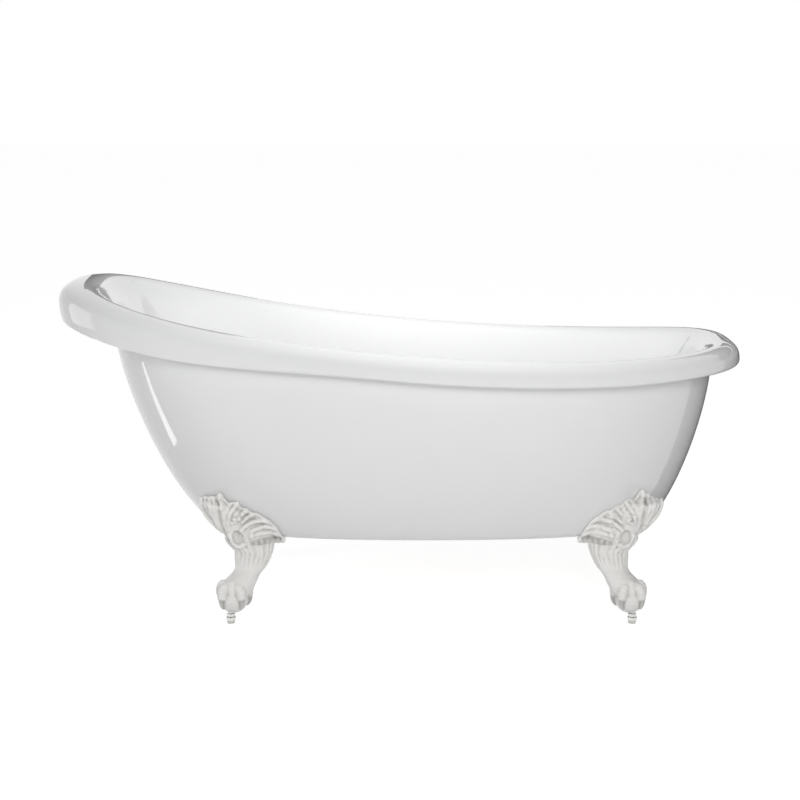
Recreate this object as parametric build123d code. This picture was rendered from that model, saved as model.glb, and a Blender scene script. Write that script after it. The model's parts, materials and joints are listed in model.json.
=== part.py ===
"""Double-skinned slipper bath on four cast ball-and-claw feet, with its waste and overflow.

Frame: +Z up, +X from the high sloping back (head end) to the drain end, origin on the floor
under the middle of the bath. Millimetres.
"""
from build123d import *
from math import cos, pi, radians, sin
import os

import numpy as np

# ---------------------------------------------------------------- driving dimensions
TUB_LENGTH = 1700.0
TUB_WIDTH = 770.0
WIDEST_X = -390.0              # station of the greatest width
HEAD_FULLNESS = 2.62           # superellipse exponents of the rim's two halves
DRAIN_FULLNESS = 3.28

HEAD_HEIGHT = 827.0            # crown line of the rim over the floor
LOW_HEIGHT = 656.0
DRAIN_HEIGHT = 680.0
LOWEST_X = 450.0               # station of the crown line's lowest point
UNDERSIDE_HEIGHT = 200.0       # flat underside of the outer skirt

# rolled rim, measured inward from the outline and down from the crown line
CROWN_INSET = 56.0
CROWN_INSET_EXTRA_HEAD = 10.0
ROLL_OUTER_DROP = 46.5
ROLL_OUTER_FULLNESS = 2.5
ROLL_INNER_WIDTH = 36.0
ROLL_INNER_DROP = 30.0
ROLL_INNER_START = 20.0        # degrees of the inner quarter that the wall cuts off
RIM_DEPTH = 54.0
RIM_DEPTH_EXTRA_HEAD = 29.0
DEPTH_CHANGE_START_X = -50.0
DEPTH_CHANGE_LENGTH = 600.0
LIP_UNDERCUT = 5.0
HEAD_TILT = 0.20
HEAD_TILT_START_X = -300.0

TUB_WALL = 5.0
SKIRT_WALL = 5.0
SEAM_GAP = 0.6                 # between the skirt's flange and the lip of the rim

# outer skirt: its neck under the rim and its foot outline, as insets from the rim outline
NECK_INSET_HEAD = 131.0
NECK_INSET_DRAIN = 69.0
NECK_INSET_SIDE = 43.0
BASE_INSET_HEAD = 370.0
BASE_INSET_DRAIN = 216.0
BASE_INSET_SIDE = 147.0
BASE_FULLNESS = 2.8
SKIRT_CURVE = ((0.035, 0.266), (0.459, 0.799))   # Bezier handles: share of run, share of drop
NECK_RADIUS_REACH = 12.0
BASE_RADIUS_REACH = 16.0
UNDERSIDE_LAND = 45.0

# basin
FLOOR_INSET_HEAD = 410.0
FLOOR_INSET_DRAIN = 275.0
FLOOR_INSET_SIDE = 185.0
FLOOR_FULLNESS = 2.5
BASIN_CURVE = ((0.45, 0.25), (0.55, 1.0))

# encapsulated base
BOARD_THICKNESS = 18.0
BOARD_INSET = 15.0
BOARD_END_CLEAR_OF_DRAIN = 65.0
RAIL_HEIGHT = 22.0
RAIL_WIDTH = 48.0
RAIL_FROM_BASE_SIDE = 104.0    # rail centre line, inward from the skirt's base outline
RAIL_PAST_BOLTS = 14.0
OPENING_HALF_WIDTH = 110.0     # service opening in the skirt's underside
OPENING_INSET_HEAD = 100.0
OPENING_INSET_DRAIN = 74.0

# feet
FOOT_FROM_BASE_END = 63.0      # pad axis, inward from the skirt's base outline end
FOOT_OUTSIDE_BASE = 27.0       # pad axis, outward from the base outline's side
PLATE_THICKNESS = 15.0
PLATE_CLEARANCE = 1.2
LEDGE_THICKNESS = 8.0
LEDGE_LENGTH = 92.0
LEDGE_SHIFT = 80.0             # ledge centre, inward from the pad axis along the bath
LEDGE_PAST_BOLTS = 18.0
LEDGE_IN_LEG = 62.0            # ledge's outer end, inward from the pad axis across the bath
BALL_RADIUS = 36.0
BALL_CENTRE = (-7.0, -6.0)
BALL_CLEARANCE_HEIGHT = 26.0   # lowest point of the ball over the floor
# leg outline: share of the leg's height, shifts inward along and across the bath, half widths
LEG_SECTIONS = (
    (0.30, 16.0, 16.0, 26.0, 25.0),
    (0.36, 19.0, 19.0, 31.0, 30.0),
    (0.42, 20.0, 20.0, 35.0, 34.0),
    (0.53, 23.0, 23.0, 37.0, 36.0),
    (0.58, 25.0, 25.0, 37.0, 36.0),
    (0.65, 38.0, 38.0, 38.0, 36.0),
    (0.74, 50.0, 50.0, 37.5, 35.0),
    (0.83, 53.0, 53.0, 40.0, 37.5),
    (0.93, 57.0, 57.0, 42.5, 42.0),
    (1.015, 52.0, 60.0, 60.0, 46.0),
    (1.11, 48.0, 64.0, 73.0, 51.0),
    (1.195, 44.0, 68.0, 85.0, 56.0),
    (1.275, 36.0, 72.0, 95.0, 61.0),
    (1.365, 28.0, 78.0, 99.0, 68.0),
)
# leaf plate's edges: outward along the bath from the pad axis, up from the skirt's underside
LEAF_TOP = (
    (-133.0, 8.0), (-121.0, 17.0), (-108.0, 41.0), (-94.0, 58.0), (-80.0, 75.0), (-63.0, 82.0),
    (-52.0, 93.0), (-36.0, 89.0), (-27.0, 100.0), (-12.0, 104.0), (0.0, 112.0), (13.0, 101.0),
    (25.0, 114.0), (39.0, 124.0), (55.0, 125.0), (72.0, 116.0), (80.0, 109.0),
)
LEAF_BOTTOM = ((-133.0, 3.0), (24.0, 3.0), (42.0, 15.0), (60.0, 32.0), (73.0, 60.0), (80.0, 92.0))
LEAF_STEP = 10.0               # between the plate's sections
LEAF_HEIGHTS = 11              # points up each section, closest at the skirt's rounded foot
LEAF_HEIGHT_SPREAD = 1.5
TOE_ANGLES = (-101.0, -29.0, 43.0, 115.0, 187.0)   # from straight out of the bath's side to its end
# toe centre line: reach from the ball's axis, height over the floor, radius
TOE_SECTIONS = (
    (12.0, 122.0, 12.0), (27.0, 113.0, 14.0), (34.0, 98.0, 13.5), (37.0, 82.0, 12.0),
    (37.0, 68.0, 9.0), (34.0, 56.0, 5.5), (30.0, 47.0, 2.5),
)

# levelling gear, M10 thread drawn as plain cylinders
THREAD_RADIUS = 5.0
THREAD_CLEARANCE = 0.05
BUSH_RADIUS = 8.0
BUSH_LENGTH = 32.0
BUSH_CLEARANCE = 0.02
STUD_PAST_BUSH = 6.0
PAD_RADIUS = 9.5
PAD_HEIGHT = 8.0
PAD_EDGE = 1.5
SOCKET_FLOOR = 3.0
SPIGOT_RADIUS = 4.0
COLLAR_ACROSS_FLATS = 22.0
COLLAR_HEIGHT = 9.0
LOCK_NUT_ACROSS_FLATS = 19.0
GEAR_GAP = 0.2                 # between pad, collar, lock nut and ball

# foot bolts, M10
BOLT_RADIUS = 5.0
BOLT_HOLE_RADIUS = 5.5
BOLT_PITCH = 44.0
BOLT_HEAD_ACROSS_FLATS = 16.0
BOLT_HEAD_HEIGHT = 6.4
WASHER_RADIUS = 10.5
WASHER_THICKNESS = 2.0
INSERT_RADIUS = 7.0
INSERT_LENGTH = 18.0
BOLT_IN_INSERT = 16.0

# waste
DRAIN_FROM_FLOOR_END = 70.0
WASTE_HOLE_RADIUS = 26.0
WASTE_FLANGE_RADIUS = 35.0
WASTE_FLANGE_THICKNESS = 3.0
WASTE_TUBE_RADIUS = 24.0
WASTE_BORE_RADIUS = 20.0
WASTE_TUBE_LENGTH = 44.0
UPPER_SEAL_THICKNESS = 1.5
LOWER_SEAL_THICKNESS = 4.0
SHOE_FLANGE_RADIUS = 36.0
SHOE_FLANGE_THICKNESS = 5.0
SHOE_WALL = 4.0
SHOE_LENGTH = 56.0
THREAD_GAP = 0.1
BRANCH_RADIUS = 13.0
BRANCH_DROP = 24.0             # branch axis below the tub floor's underside
BRANCH_REACH = 52.0
OUTLET_RADIUS = 22.0
OUTLET_LENGTH = 26.0
TAIL_RADIUS = 19.05            # 1 1/2 inch tailpiece
TAIL_NECK_RADIUS = 18.5        # its upper end, inside the nut and the outlet
TAIL_WALL = 1.5
TAIL_LENGTH = 55.0
TAIL_IN_OUTLET = 18.0
TAIL_NUT_RADIUS = 27.0
TAIL_NUT_HEIGHT = 16.0
SPIDER_HEIGHT = 8.0
SPIDER_ARM_WIDTH = 4.0
SPIDER_BOSS_RADIUS = 9.0
SPIDER_ARM_COUNT = 3
CARTRIDGE_RADIUS = 6.0
CARTRIDGE_LENGTH = 24.0
STEM_RADIUS = 3.0
STEM_CLEARANCE = 0.06
PLUG_RADIUS = 30.0
PLUG_THICKNESS = 5.0
PLUG_EDGE = 3.5
PLUG_SEAL_OUTER = 25.0
PLUG_SEAL_INNER = 21.0
PLUG_SEAL_THICKNESS = 2.0

# overflow
OVERFLOW_BELOW_CROWN = 112.0
OVERFLOW_HOLE_RADIUS = 22.0
OVERFLOW_FACE_RADIUS = 33.0
OVERFLOW_FACE_THICKNESS = 6.0
OVERFLOW_SLOT_COUNT = 5
OVERFLOW_SLOT_WIDTH = 3.0
OVERFLOW_SLOT_PITCH = 7.0
OVERFLOW_SEAL_THICKNESS = 3.0
OVERFLOW_FACE_SEAT = 0.4       # flat faces off the curved wall's middle plane
OVERFLOW_SEAL_SEAT = 1.1
OVERFLOW_NECK_RADIUS = 16.0
ELBOW_FLANGE_THICKNESS = 4.0
ELBOW_RADIUS = 28.0
ELBOW_DEPTH = 20.0
ELBOW_WALL = 2.5
ELBOW_SPOUT_LENGTH = 16.0
PIPE_RADIUS = 10.0
PIPE_WALL = 2.0
PIPE_BEND = 30.0
PIPE_WAYPOINTS = (0.36, 0.72)    # shares of the drop where the pipe is centred between the shells
PIPE_NUT_RADIUS = 14.5
PIPE_NUT_LENGTH = 14.0

STATION_COUNT = 56             # points round every outline
FIT_LEVELS = 41                # levels that the feet's fit is worked out at
FIT_HEIGHTS = (0, 2, 5, 8, 12, 16, 24, 34, 46, 60, 75, 95, 115, 140)   # over the underside
FINER_STEPS = 8
BASIN_LEVELS = 21
ROLL_LEVELS = 7                # rings in each quarter of the rolled rim
SKIRT_LEVELS = 16
SEAT_GAP = 0.3                 # between a soft seal and the curved or screwed piece beside it
CUT_PAST = 12.0                # how far a cutter runs past what it cuts

# ---------------------------------------------------------------- places worked out from them
HALF = TUB_LENGTH / 2
NECK_HEAD_X = -HALF + NECK_INSET_HEAD
NECK_DRAIN_X = HALF - NECK_INSET_DRAIN
NECK_HALF_WIDTH = TUB_WIDTH / 2 - NECK_INSET_SIDE
BASE_HEAD_X = -HALF + BASE_INSET_HEAD
BASE_DRAIN_X = HALF - BASE_INSET_DRAIN
BASE_HALF_WIDTH = TUB_WIDTH / 2 - BASE_INSET_SIDE
FLOOR_HEAD_X = -HALF + FLOOR_INSET_HEAD
FLOOR_DRAIN_X = HALF - FLOOR_INSET_DRAIN
FLOOR_HALF_WIDTH = TUB_WIDTH / 2 - FLOOR_INSET_SIDE

SKIRT_TOP_OF_BASE = UNDERSIDE_HEIGHT + SKIRT_WALL
WASHER_TOP = UNDERSIDE_HEIGHT - LEDGE_THICKNESS
RAIL_TOP = SKIRT_TOP_OF_BASE + RAIL_HEIGHT
FLOOR_UNDERSIDE = RAIL_TOP + BOARD_THICKNESS
FLOOR_TOP = FLOOR_UNDERSIDE + TUB_WALL

DRAIN_X = FLOOR_DRAIN_X - DRAIN_FROM_FLOOR_END
PAD_Y = BASE_HALF_WIDTH + FOOT_OUTSIDE_BASE
RAIL_Y = BASE_HALF_WIDTH - RAIL_FROM_BASE_SIDE
PAD_X = {"head": BASE_HEAD_X + FOOT_FROM_BASE_END, "drain": BASE_DRAIN_X - FOOT_FROM_BASE_END}
END_SIGN = {"head": -1, "drain": 1}      # which way along X leads out of the bath at that end
SIDE_SIGN = {"front": -1, "back": 1}
CORNERS = [(end, side) for end in END_SIGN for side in SIDE_SIGN]
BOLT_X = {end: PAD_X[end] - END_SIGN[end] * LEDGE_SHIFT for end in END_SIGN}


# ---------------------------------------------------------------- the bath's form, as rows of points
def smooth_step(share):
    share = np.clip(share, 0, 1)
    return share * share * (3 - 2 * share)


def crown_height(x):
    """Height of the rim's crown line: two parabolas that meet at its lowest point."""
    x = np.asarray(x, float)
    toward_head = np.clip((LOWEST_X - x) / (LOWEST_X + HALF), 0, None)
    toward_drain = np.clip((x - LOWEST_X) / (HALF - LOWEST_X), 0, None)
    rise_head = (HEAD_HEIGHT - LOW_HEIGHT) * toward_head ** 2
    return LOW_HEIGHT + rise_head + (DRAIN_HEIGHT - LOW_HEIGHT) * toward_drain ** 2


def oval(angles, head_x, drain_x, half_width, widest_x, head_fullness, drain_fullness):
    """Plan outline: two superellipse halves that meet at the widest station."""
    along, across = np.cos(angles), np.sin(angles)
    fullness = np.where(along > 0, drain_fullness, head_fullness)
    reach = np.where(along > 0, drain_x - widest_x, widest_x - head_x)
    x = widest_x + reach * np.sign(along) * np.abs(along) ** (2 / fullness)
    y = half_width * np.sign(across) * np.abs(across) ** (2 / fullness)
    return np.stack([x, y], -1)


def rim_oval(angles):
    return oval(angles, -HALF, HALF, TUB_WIDTH / 2, WIDEST_X, HEAD_FULLNESS, DRAIN_FULLNESS)


def station_angles(count, steps=20000):
    """Outline angles that space the stations evenly along the rim."""
    angles = np.linspace(0, 2 * pi, steps + 1)
    lengths = np.hypot(*np.diff(rim_oval(angles), axis=0).T)
    travelled = np.concatenate([[0], np.cumsum(lengths)])
    return np.interp(np.arange(count) / count * travelled[-1], travelled, angles)


ANGLES = station_angles(STATION_COUNT)
ANGLE_STEP = 1e-4
RIM_XY = rim_oval(ANGLES)
TANGENT = rim_oval(ANGLES + ANGLE_STEP) - rim_oval(ANGLES - ANGLE_STEP)
OUTWARD = np.stack([TANGENT[:, 1], -TANGENT[:, 0]], -1) / np.hypot(*TANGENT.T)[:, None]

HEADNESS = smooth_step((DEPTH_CHANGE_START_X - RIM_XY[:, 0]) / DEPTH_CHANGE_LENGTH)
HEAD_SHARE = np.clip((HEAD_TILT_START_X - RIM_XY[:, 0]) / (HALF + HEAD_TILT_START_X), 0, 1) ** 2
DEPTH = RIM_DEPTH + RIM_DEPTH_EXTRA_HEAD * HEADNESS
CROWN = CROWN_INSET + CROWN_INSET_EXTRA_HEAD * HEAD_SHARE
TILT = HEAD_TILT * HEAD_SHARE


def with_height(xy, z):
    return np.concatenate([xy, np.broadcast_to(z, len(xy))[:, None]], 1)


def rim_row(inward, below):
    """Ring of points at a distance inward from the rim outline and below the crown line."""
    inward = np.broadcast_to(inward, STATION_COUNT)
    xy = RIM_XY - OUTWARD * inward[:, None]
    return with_height(xy, crown_height(xy[:, 0]) - below + TILT * inward)


def curve_share(handles, at):
    """Point of a cubic Bezier from (0, 0) to (1, 1): share of the run, share of the drop."""
    first, second = 3 * at * (1 - at) ** 2, 3 * at ** 2 * (1 - at)
    return tuple(first * handles[0][i] + second * handles[1][i] + at ** 3 for i in (0, 1))


def wall_row(top, foot, handles, at):
    run, drop = curve_share(handles, at)
    return np.concatenate([top[:, :2] * (1 - run) + foot[:, :2] * run,
                           top[:, 2:] * (1 - drop) + foot[:, 2:] * drop], 1)


def round_corner(before, corner, after, reach):
    """Three rings that turn a sharp corner between rings into a rounded one."""
    def toward(other):
        way = other - corner
        return corner + way * reach / np.linalg.norm(way, axis=1)[:, None]
    start, end = toward(before), toward(after)
    return [start, (start + 2 * corner + end) / 4, end]


def plan(head_x, drain_x, half_width, fullness):
    return oval(ANGLES, head_x, drain_x, half_width, (head_x + drain_x) / 2, fullness, fullness)


def basin_rows():
    """Bathing side of the inner shell, from the flat floor over the rolled rim to its lip."""
    start = radians(ROLL_INNER_START)
    lip = rim_row(CROWN + ROLL_INNER_WIDTH * cos(start), ROLL_INNER_DROP * (1 - sin(start)))
    floor = plan(FLOOR_HEAD_X, FLOOR_DRAIN_X, FLOOR_HALF_WIDTH, FLOOR_FULLNESS)
    floor = with_height(floor, FLOOR_TOP)
    rows = [wall_row(lip, floor, BASIN_CURVE, at) for at in np.linspace(1, 0, BASIN_LEVELS)]
    for turn in np.linspace(start, pi / 2, ROLL_LEVELS)[1:]:
        rows.append(rim_row(CROWN + ROLL_INNER_WIDTH * cos(turn), ROLL_INNER_DROP * (1 - sin(turn))))
    power = 2 / ROLL_OUTER_FULLNESS
    for turn in np.linspace(0, pi / 2, ROLL_LEVELS)[1:-1]:
        rows.append(rim_row(CROWN * (1 - sin(turn) ** power), ROLL_OUTER_DROP * (1 - cos(turn) ** power)))
    rows.append(rim_row(0, ROLL_OUTER_DROP))
    for share in (0.5, 1.0):
        below = ROLL_OUTER_DROP + (DEPTH - ROLL_OUTER_DROP) * share
        rows.append(rim_row(LIP_UNDERCUT * share ** 2, below))
    return np.array(rows)


def skirt_ends():
    """The skirt's neck under the rim and its foot outline on the underside."""
    flange_edge = rim_row(LIP_UNDERCUT + TUB_WALL + SEAM_GAP, DEPTH)
    neck_xy = oval(ANGLES, NECK_HEAD_X, NECK_DRAIN_X, NECK_HALF_WIDTH, WIDEST_X,
                   HEAD_FULLNESS, DRAIN_FULLNESS)
    overhang = np.hypot(*(RIM_XY - neck_xy).T)
    neck = with_height(neck_xy, crown_height(neck_xy[:, 0]) - DEPTH + TILT * overhang)
    base_xy = plan(BASE_HEAD_X, BASE_DRAIN_X, BASE_HALF_WIDTH, BASE_FULLNESS)
    return flange_edge, neck, with_height(base_xy, UNDERSIDE_HEIGHT)


def skirt_rows(with_flange=True):
    """Outer face of the skirt, from inside its flat underside up to the flange in the rim."""
    flange_edge, neck, base = skirt_ends()
    land = plan(BASE_HEAD_X + UNDERSIDE_LAND, BASE_DRAIN_X - UNDERSIDE_LAND,
                BASE_HALF_WIDTH - UNDERSIDE_LAND, BASE_FULLNESS)
    land = with_height(land, UNDERSIDE_HEIGHT)
    walls = [wall_row(neck, base, SKIRT_CURVE, at) for at in np.linspace(0, 1, SKIRT_LEVELS)[1:-1]]
    rows = [land] + round_corner(land, base, walls[-1], BASE_RADIUS_REACH) + walls[::-1]
    if with_flange:
        rows += round_corner(walls[0], neck, flange_edge, NECK_RADIUS_REACH)
        rows += [(neck + flange_edge) / 2, flange_edge]
    else:
        rows.append(neck)
    return np.array(rows)


def normals(rows):
    """Unit normals of a grid of rings, pointing away from the material behind it."""
    around = np.roll(rows, -1, 1) - np.roll(rows, 1, 1)
    normal = np.cross(around, np.gradient(rows, axis=0))
    return normal / np.linalg.norm(normal, axis=2)[..., None]


def ring(row):
    knots = [float(k) for k in np.linspace(0, 1, STATION_COUNT + 1)]
    return Wire([Edge.make_spline([tuple(map(float, p)) for p in row], periodic=True, parameters=knots)])


def folded_shell(rows, material_side, wall):
    """Shell of even thickness: one loft up the seen face and back down behind it."""
    normal = normals(rows)
    normal[0] = (0, 0, np.sign(normal[0, 0, 2]))
    behind = rows + material_side * wall * normal
    return Solid.make_loft([ring(row) for row in [*rows, *behind[::-1]]], ruled=True)


def grown_skirt(grow):
    """Rows of the skirt's outer face round its foot, pushed outward."""
    land, (_, neck, base) = skirt_rows()[0], skirt_ends()
    walls = [wall_row(neck, base, SKIRT_CURVE, at) for at in np.linspace(0, 1, FIT_LEVELS)[1:-1]]
    rows = [land] + round_corner(land, base, walls[-3], BASE_RADIUS_REACH) + walls[-4::-1]
    rows = np.array(rows)
    return rows + normals(rows) * grow


def section_at(rows, height):
    """Outline of a stack of rings at one height."""
    return np.array([[np.interp(height, rows[:, i, 2], rows[:, i, axis]) for axis in (0, 1)]
                     for i in range(STATION_COUNT)])


def skirt_solid(grow, low):
    """Foot of the skirt as a filled solid, grown outward, that the claw feet are cut to fit."""
    rows = grown_skirt(grow)
    heights = [low] + [UNDERSIDE_HEIGHT + up for up in FIT_HEIGHTS if UNDERSIDE_HEIGHT + up > low]
    return Solid.make_loft([ring(with_height(section_at(rows, z), z)) for z in heights], ruled=True)


def finer(outline):
    """A closed outline with points added between its own along smooth curves."""
    before, after, beyond = (np.roll(outline, shift, 0) for shift in (1, -1, -2))
    added = []
    for t in np.arange(FINER_STEPS) / FINER_STEPS:
        added.append(outline + (after - before) * t / 2
                     + (2 * before - 5 * outline + 4 * after - beyond) * t ** 2 / 2
                     + (3 * outline - before - 3 * after + beyond) * t ** 3 / 2)
    return np.stack(added, 1).reshape(-1, 2)


def side_reach(rows, x, height):
    """How far the grown skirt's side stands from the bath's centre line."""
    outline = finer(section_at(rows, height))
    side = outline[outline[:, 1] > 0]
    side = side[np.argsort(side[:, 0])]
    return float(np.interp(x, side[:, 0], side[:, 1]))


# ---------------------------------------------------------------- small shape helpers
def rod(x, y, low, high, radius):
    """Upright cylinder between two heights."""
    return Pos(x, y, low) * Cylinder(radius, high - low, align=(Align.CENTER, Align.CENTER, Align.MIN))


def tube(x, y, low, high, outer, inner):
    return rod(x, y, low, high, outer) - rod(x, y, low, high, inner)


def hexagon(x, y, low, high, across_flats):
    face = RegularPolygon(across_flats / 2, 6, major_radius=False)
    return Pos(x, y, low) * extrude(face, high - low)


def block(x, y, low, high, length, width):
    return Pos(x, y, (low + high) / 2) * Box(length, width, high - low)


def joined(shapes):
    return Compound(children=[s for shape in shapes for s in shape.solids()])


def mirrored(shape):
    return mirror(shape, about=Plane.XZ)


# ---------------------------------------------------------------- shells
def overflow_plane():
    """Plane on the basin's drain-end wall, normal into the basin."""
    target = float(crown_height(HALF)) - OVERFLOW_BELOW_CROWN
    rows = basin_rows()[:BASIN_LEVELS, 0]
    order = np.argsort(rows[:, 2])
    heights, reaches = rows[order, 2], rows[order, 0]
    slope = np.gradient(reaches, heights)
    lean = float(np.interp(target, heights, slope))
    origin = (float(np.interp(target, heights, reaches)), 0, target)
    return Plane(origin=origin, x_dir=(0, 1, 0), z_dir=(-1, 0, lean))


OVERFLOW = overflow_plane()


def on_overflow(shape, height):
    """Place a shape made on the XY plane at a height over the basin wall, along its normal."""
    return OVERFLOW * Pos(0, 0, height) * shape


def disc(radius, thickness):
    return Cylinder(radius, thickness, align=(Align.CENTER, Align.CENTER, Align.MIN))


def inner_tub():
    shell = folded_shell(basin_rows(), 1, TUB_WALL)
    shell -= rod(DRAIN_X, 0, FLOOR_UNDERSIDE - CUT_PAST, FLOOR_TOP + CUT_PAST, WASTE_HOLE_RADIUS)
    return shell - on_overflow(disc(OVERFLOW_HOLE_RADIUS, 2 * CUT_PAST + TUB_WALL), -CUT_PAST - TUB_WALL)


def service_opening():
    outline = plan(BASE_HEAD_X + OPENING_INSET_HEAD, BASE_DRAIN_X - OPENING_INSET_DRAIN,
                   OPENING_HALF_WIDTH, BASE_FULLNESS)
    face = Face(ring(with_height(outline, UNDERSIDE_HEIGHT - CUT_PAST)))
    return extrude(face, 2 * CUT_PAST + SKIRT_WALL, dir=(0, 0, 1))


def bolt_places(end, side):
    for step in (-0.5, 0.5):
        yield BOLT_X[end] + step * BOLT_PITCH, SIDE_SIGN[side] * RAIL_Y


def all_bolt_places():
    return [place for corner in CORNERS for place in bolt_places(*corner)]


def outer_skirt():
    shell = folded_shell(skirt_rows(), -1, SKIRT_WALL) - service_opening()
    for x, y in all_bolt_places():
        shell -= rod(x, y, UNDERSIDE_HEIGHT - CUT_PAST, SKIRT_TOP_OF_BASE + CUT_PAST, BOLT_HOLE_RADIUS)
    return shell


# ---------------------------------------------------------------- encapsulated base
def base_board():
    """Chipboard under the floor, held clear of the waste."""
    end_x = DRAIN_X - BOARD_END_CLEAR_OF_DRAIN
    outline = plan(FLOOR_HEAD_X + BOARD_INSET, FLOOR_DRAIN_X - BOARD_INSET,
                   FLOOR_HALF_WIDTH - BOARD_INSET, FLOOR_FULLNESS)
    board = extrude(Face(ring(with_height(outline, RAIL_TOP))), BOARD_THICKNESS, dir=(0, 0, 1))
    length = end_x + HALF
    keep = block((end_x - HALF) / 2, 0, RAIL_TOP - RAIL_HEIGHT, FLOOR_TOP, length, TUB_WIDTH)
    return board & keep


def support_rail(side):
    low_x = BOLT_X["head"] - BOLT_PITCH / 2 - RAIL_PAST_BOLTS
    high_x = BOLT_X["drain"] + BOLT_PITCH / 2 + RAIL_PAST_BOLTS
    y = SIDE_SIGN[side] * RAIL_Y
    rail = block((low_x + high_x) / 2, y, SKIRT_TOP_OF_BASE, RAIL_TOP, high_x - low_x, RAIL_WIDTH)
    for end in END_SIGN:
        for x, place_y in bolt_places(end, side):
            rail -= rod(x, place_y, SKIRT_TOP_OF_BASE, SKIRT_TOP_OF_BASE + INSERT_LENGTH, INSERT_RADIUS)
    return rail


# ---------------------------------------------------------------- feet, in local axes
# local x points out of the bath's end, local y out of its side, origin on the floor under the pad
def toe(angle):
    """Tapered toe that arches over the ball and ends in a claw."""
    turn = radians(angle)
    out = Vector(sin(turn), cos(turn), 0)
    points = [Vector(*BALL_CENTRE, 0) + out * reach + Vector(0, 0, z) for reach, z, _ in TOE_SECTIONS]
    path = Spline(*points)
    rings = []
    for i, (point, section) in enumerate(zip(points, TOE_SECTIONS)):
        way = path.tangent_at(i / (len(points) - 1))
        rings.append(Wire.make_circle(section[2], Plane(origin=point, z_dir=way)))
    return Solid.make_loft(rings)


def leg():
    rings = []
    for share, along, across, half_width, half_depth in LEG_SECTIONS:
        plane = Plane(origin=(-along, -across, share * UNDERSIDE_HEIGHT))
        rings.append(Wire.make_ellipse(half_width, half_depth, plane))
    return Solid.make_loft(rings, ruled=True)


def paw():
    centre_height = BALL_CLEARANCE_HEIGHT + BALL_RADIUS
    body = leg() + Pos(*BALL_CENTRE, centre_height) * Sphere(BALL_RADIUS)
    for angle in TOE_ANGLES:
        body += toe(angle)
    return body


def leaf_plate(end):
    """Scalloped plate that lies along the skirt at the front corner, a clearance off it."""
    inside, outside = grown_skirt(PLATE_CLEARANCE), grown_skirt(PLATE_CLEARANCE + PLATE_THICKNESS)
    sections = []
    rise = np.linspace(0, 1, LEAF_HEIGHTS) ** LEAF_HEIGHT_SPREAD
    stations = {point[0] for point in LEAF_TOP} | set(np.arange(LEAF_TOP[0][0], LEAF_TOP[-1][0], LEAF_STEP))
    for out in sorted(stations):
        low, high = (np.interp(out, *zip(*edge)) for edge in (LEAF_BOTTOM, LEAF_TOP))
        heights = UNDERSIDE_HEIGHT + low + (high - low) * rise
        x = PAD_X[end] + END_SIGN[end] * out
        behind = [(x, -side_reach(inside, x, z), z) for z in heights]
        seen = [(x, -side_reach(outside, x, z), z) for z in heights]
        sections.append(Wire.make_polygon(behind + seen[::-1], close=True))
    return Solid.make_loft(sections, ruled=True)


def ledge():
    """Flat tongue under the skirt that the foot bolts pass through."""
    inner_y = RAIL_Y - LEDGE_PAST_BOLTS - PAD_Y
    outer_y = -LEDGE_IN_LEG
    low = UNDERSIDE_HEIGHT - LEDGE_THICKNESS
    middle = (inner_y + outer_y) / 2
    return block(-LEDGE_SHIFT, middle, low, UNDERSIDE_HEIGHT, LEDGE_LENGTH, outer_y - inner_y)


def place_foot(shape, end):
    """From local axes to the front corner at one end of the bath."""
    if end == "head":
        return Pos(PAD_X[end], -PAD_Y, 0) * Rot(0, 0, 180) * shape
    return Pos(PAD_X[end], -PAD_Y, 0) * mirror(shape, about=Plane.XZ)


def bush_low():
    """Height at which the bush's face lies just inside the ball's underside."""
    return BALL_CLEARANCE_HEIGHT + BALL_RADIUS - (BALL_RADIUS ** 2 - BUSH_RADIUS ** 2) ** 0.5


def front_foot(end, skirt):
    """Casting at the front corner: paw, leg and ledge, with the leaf plate on the skirt."""
    foot = place_foot(paw() + ledge(), end) - skirt + leaf_plate(end)
    x, y = PAD_X[end], -PAD_Y
    foot -= rod(x, y, 0, bush_low() + BUSH_LENGTH, BUSH_RADIUS + BUSH_CLEARANCE)
    stud_room = bush_low() + BUSH_LENGTH + STUD_PAST_BUSH
    foot -= rod(x, y, 0, stud_room + GEAR_GAP, THREAD_RADIUS + THREAD_CLEARANCE)
    for bolt_x, bolt_y in bolt_places(end, "front"):
        foot -= rod(bolt_x, bolt_y, WASHER_TOP - CUT_PAST, UNDERSIDE_HEIGHT + CUT_PAST, BOLT_HOLE_RADIUS)
    return max(foot.solids(), key=lambda solid: solid.volume)


# ---------------------------------------------------------------- levelling gear
def levelling_heights():
    collar_low = PAD_HEIGHT + GEAR_GAP
    collar_high = collar_low + COLLAR_HEIGHT
    return collar_low, collar_high


def corner_xy(end, side):
    return PAD_X[end], SIDE_SIGN[side] * PAD_Y


def levelling_pad(end, side):
    """Round glide that stands on the floor and stays still while the screw turns in it."""
    x, y = corner_xy(end, side)
    pad = rod(x, y, 0, PAD_HEIGHT, PAD_RADIUS)
    pad = chamfer(pad.edges().group_by(Axis.Z)[0], PAD_EDGE)
    return pad - rod(x, y, SOCKET_FLOOR, PAD_HEIGHT, SPIGOT_RADIUS + THREAD_CLEARANCE)


def levelling_screw(end, side):
    x, y = corner_xy(end, side)
    collar_low, collar_high = levelling_heights()
    screw = rod(x, y, SOCKET_FLOOR, collar_low, SPIGOT_RADIUS)
    screw += hexagon(x, y, collar_low, collar_high, COLLAR_ACROSS_FLATS)
    stud_top = bush_low() + BUSH_LENGTH + STUD_PAST_BUSH
    return screw + rod(x, y, collar_high, stud_top, THREAD_RADIUS)


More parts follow.
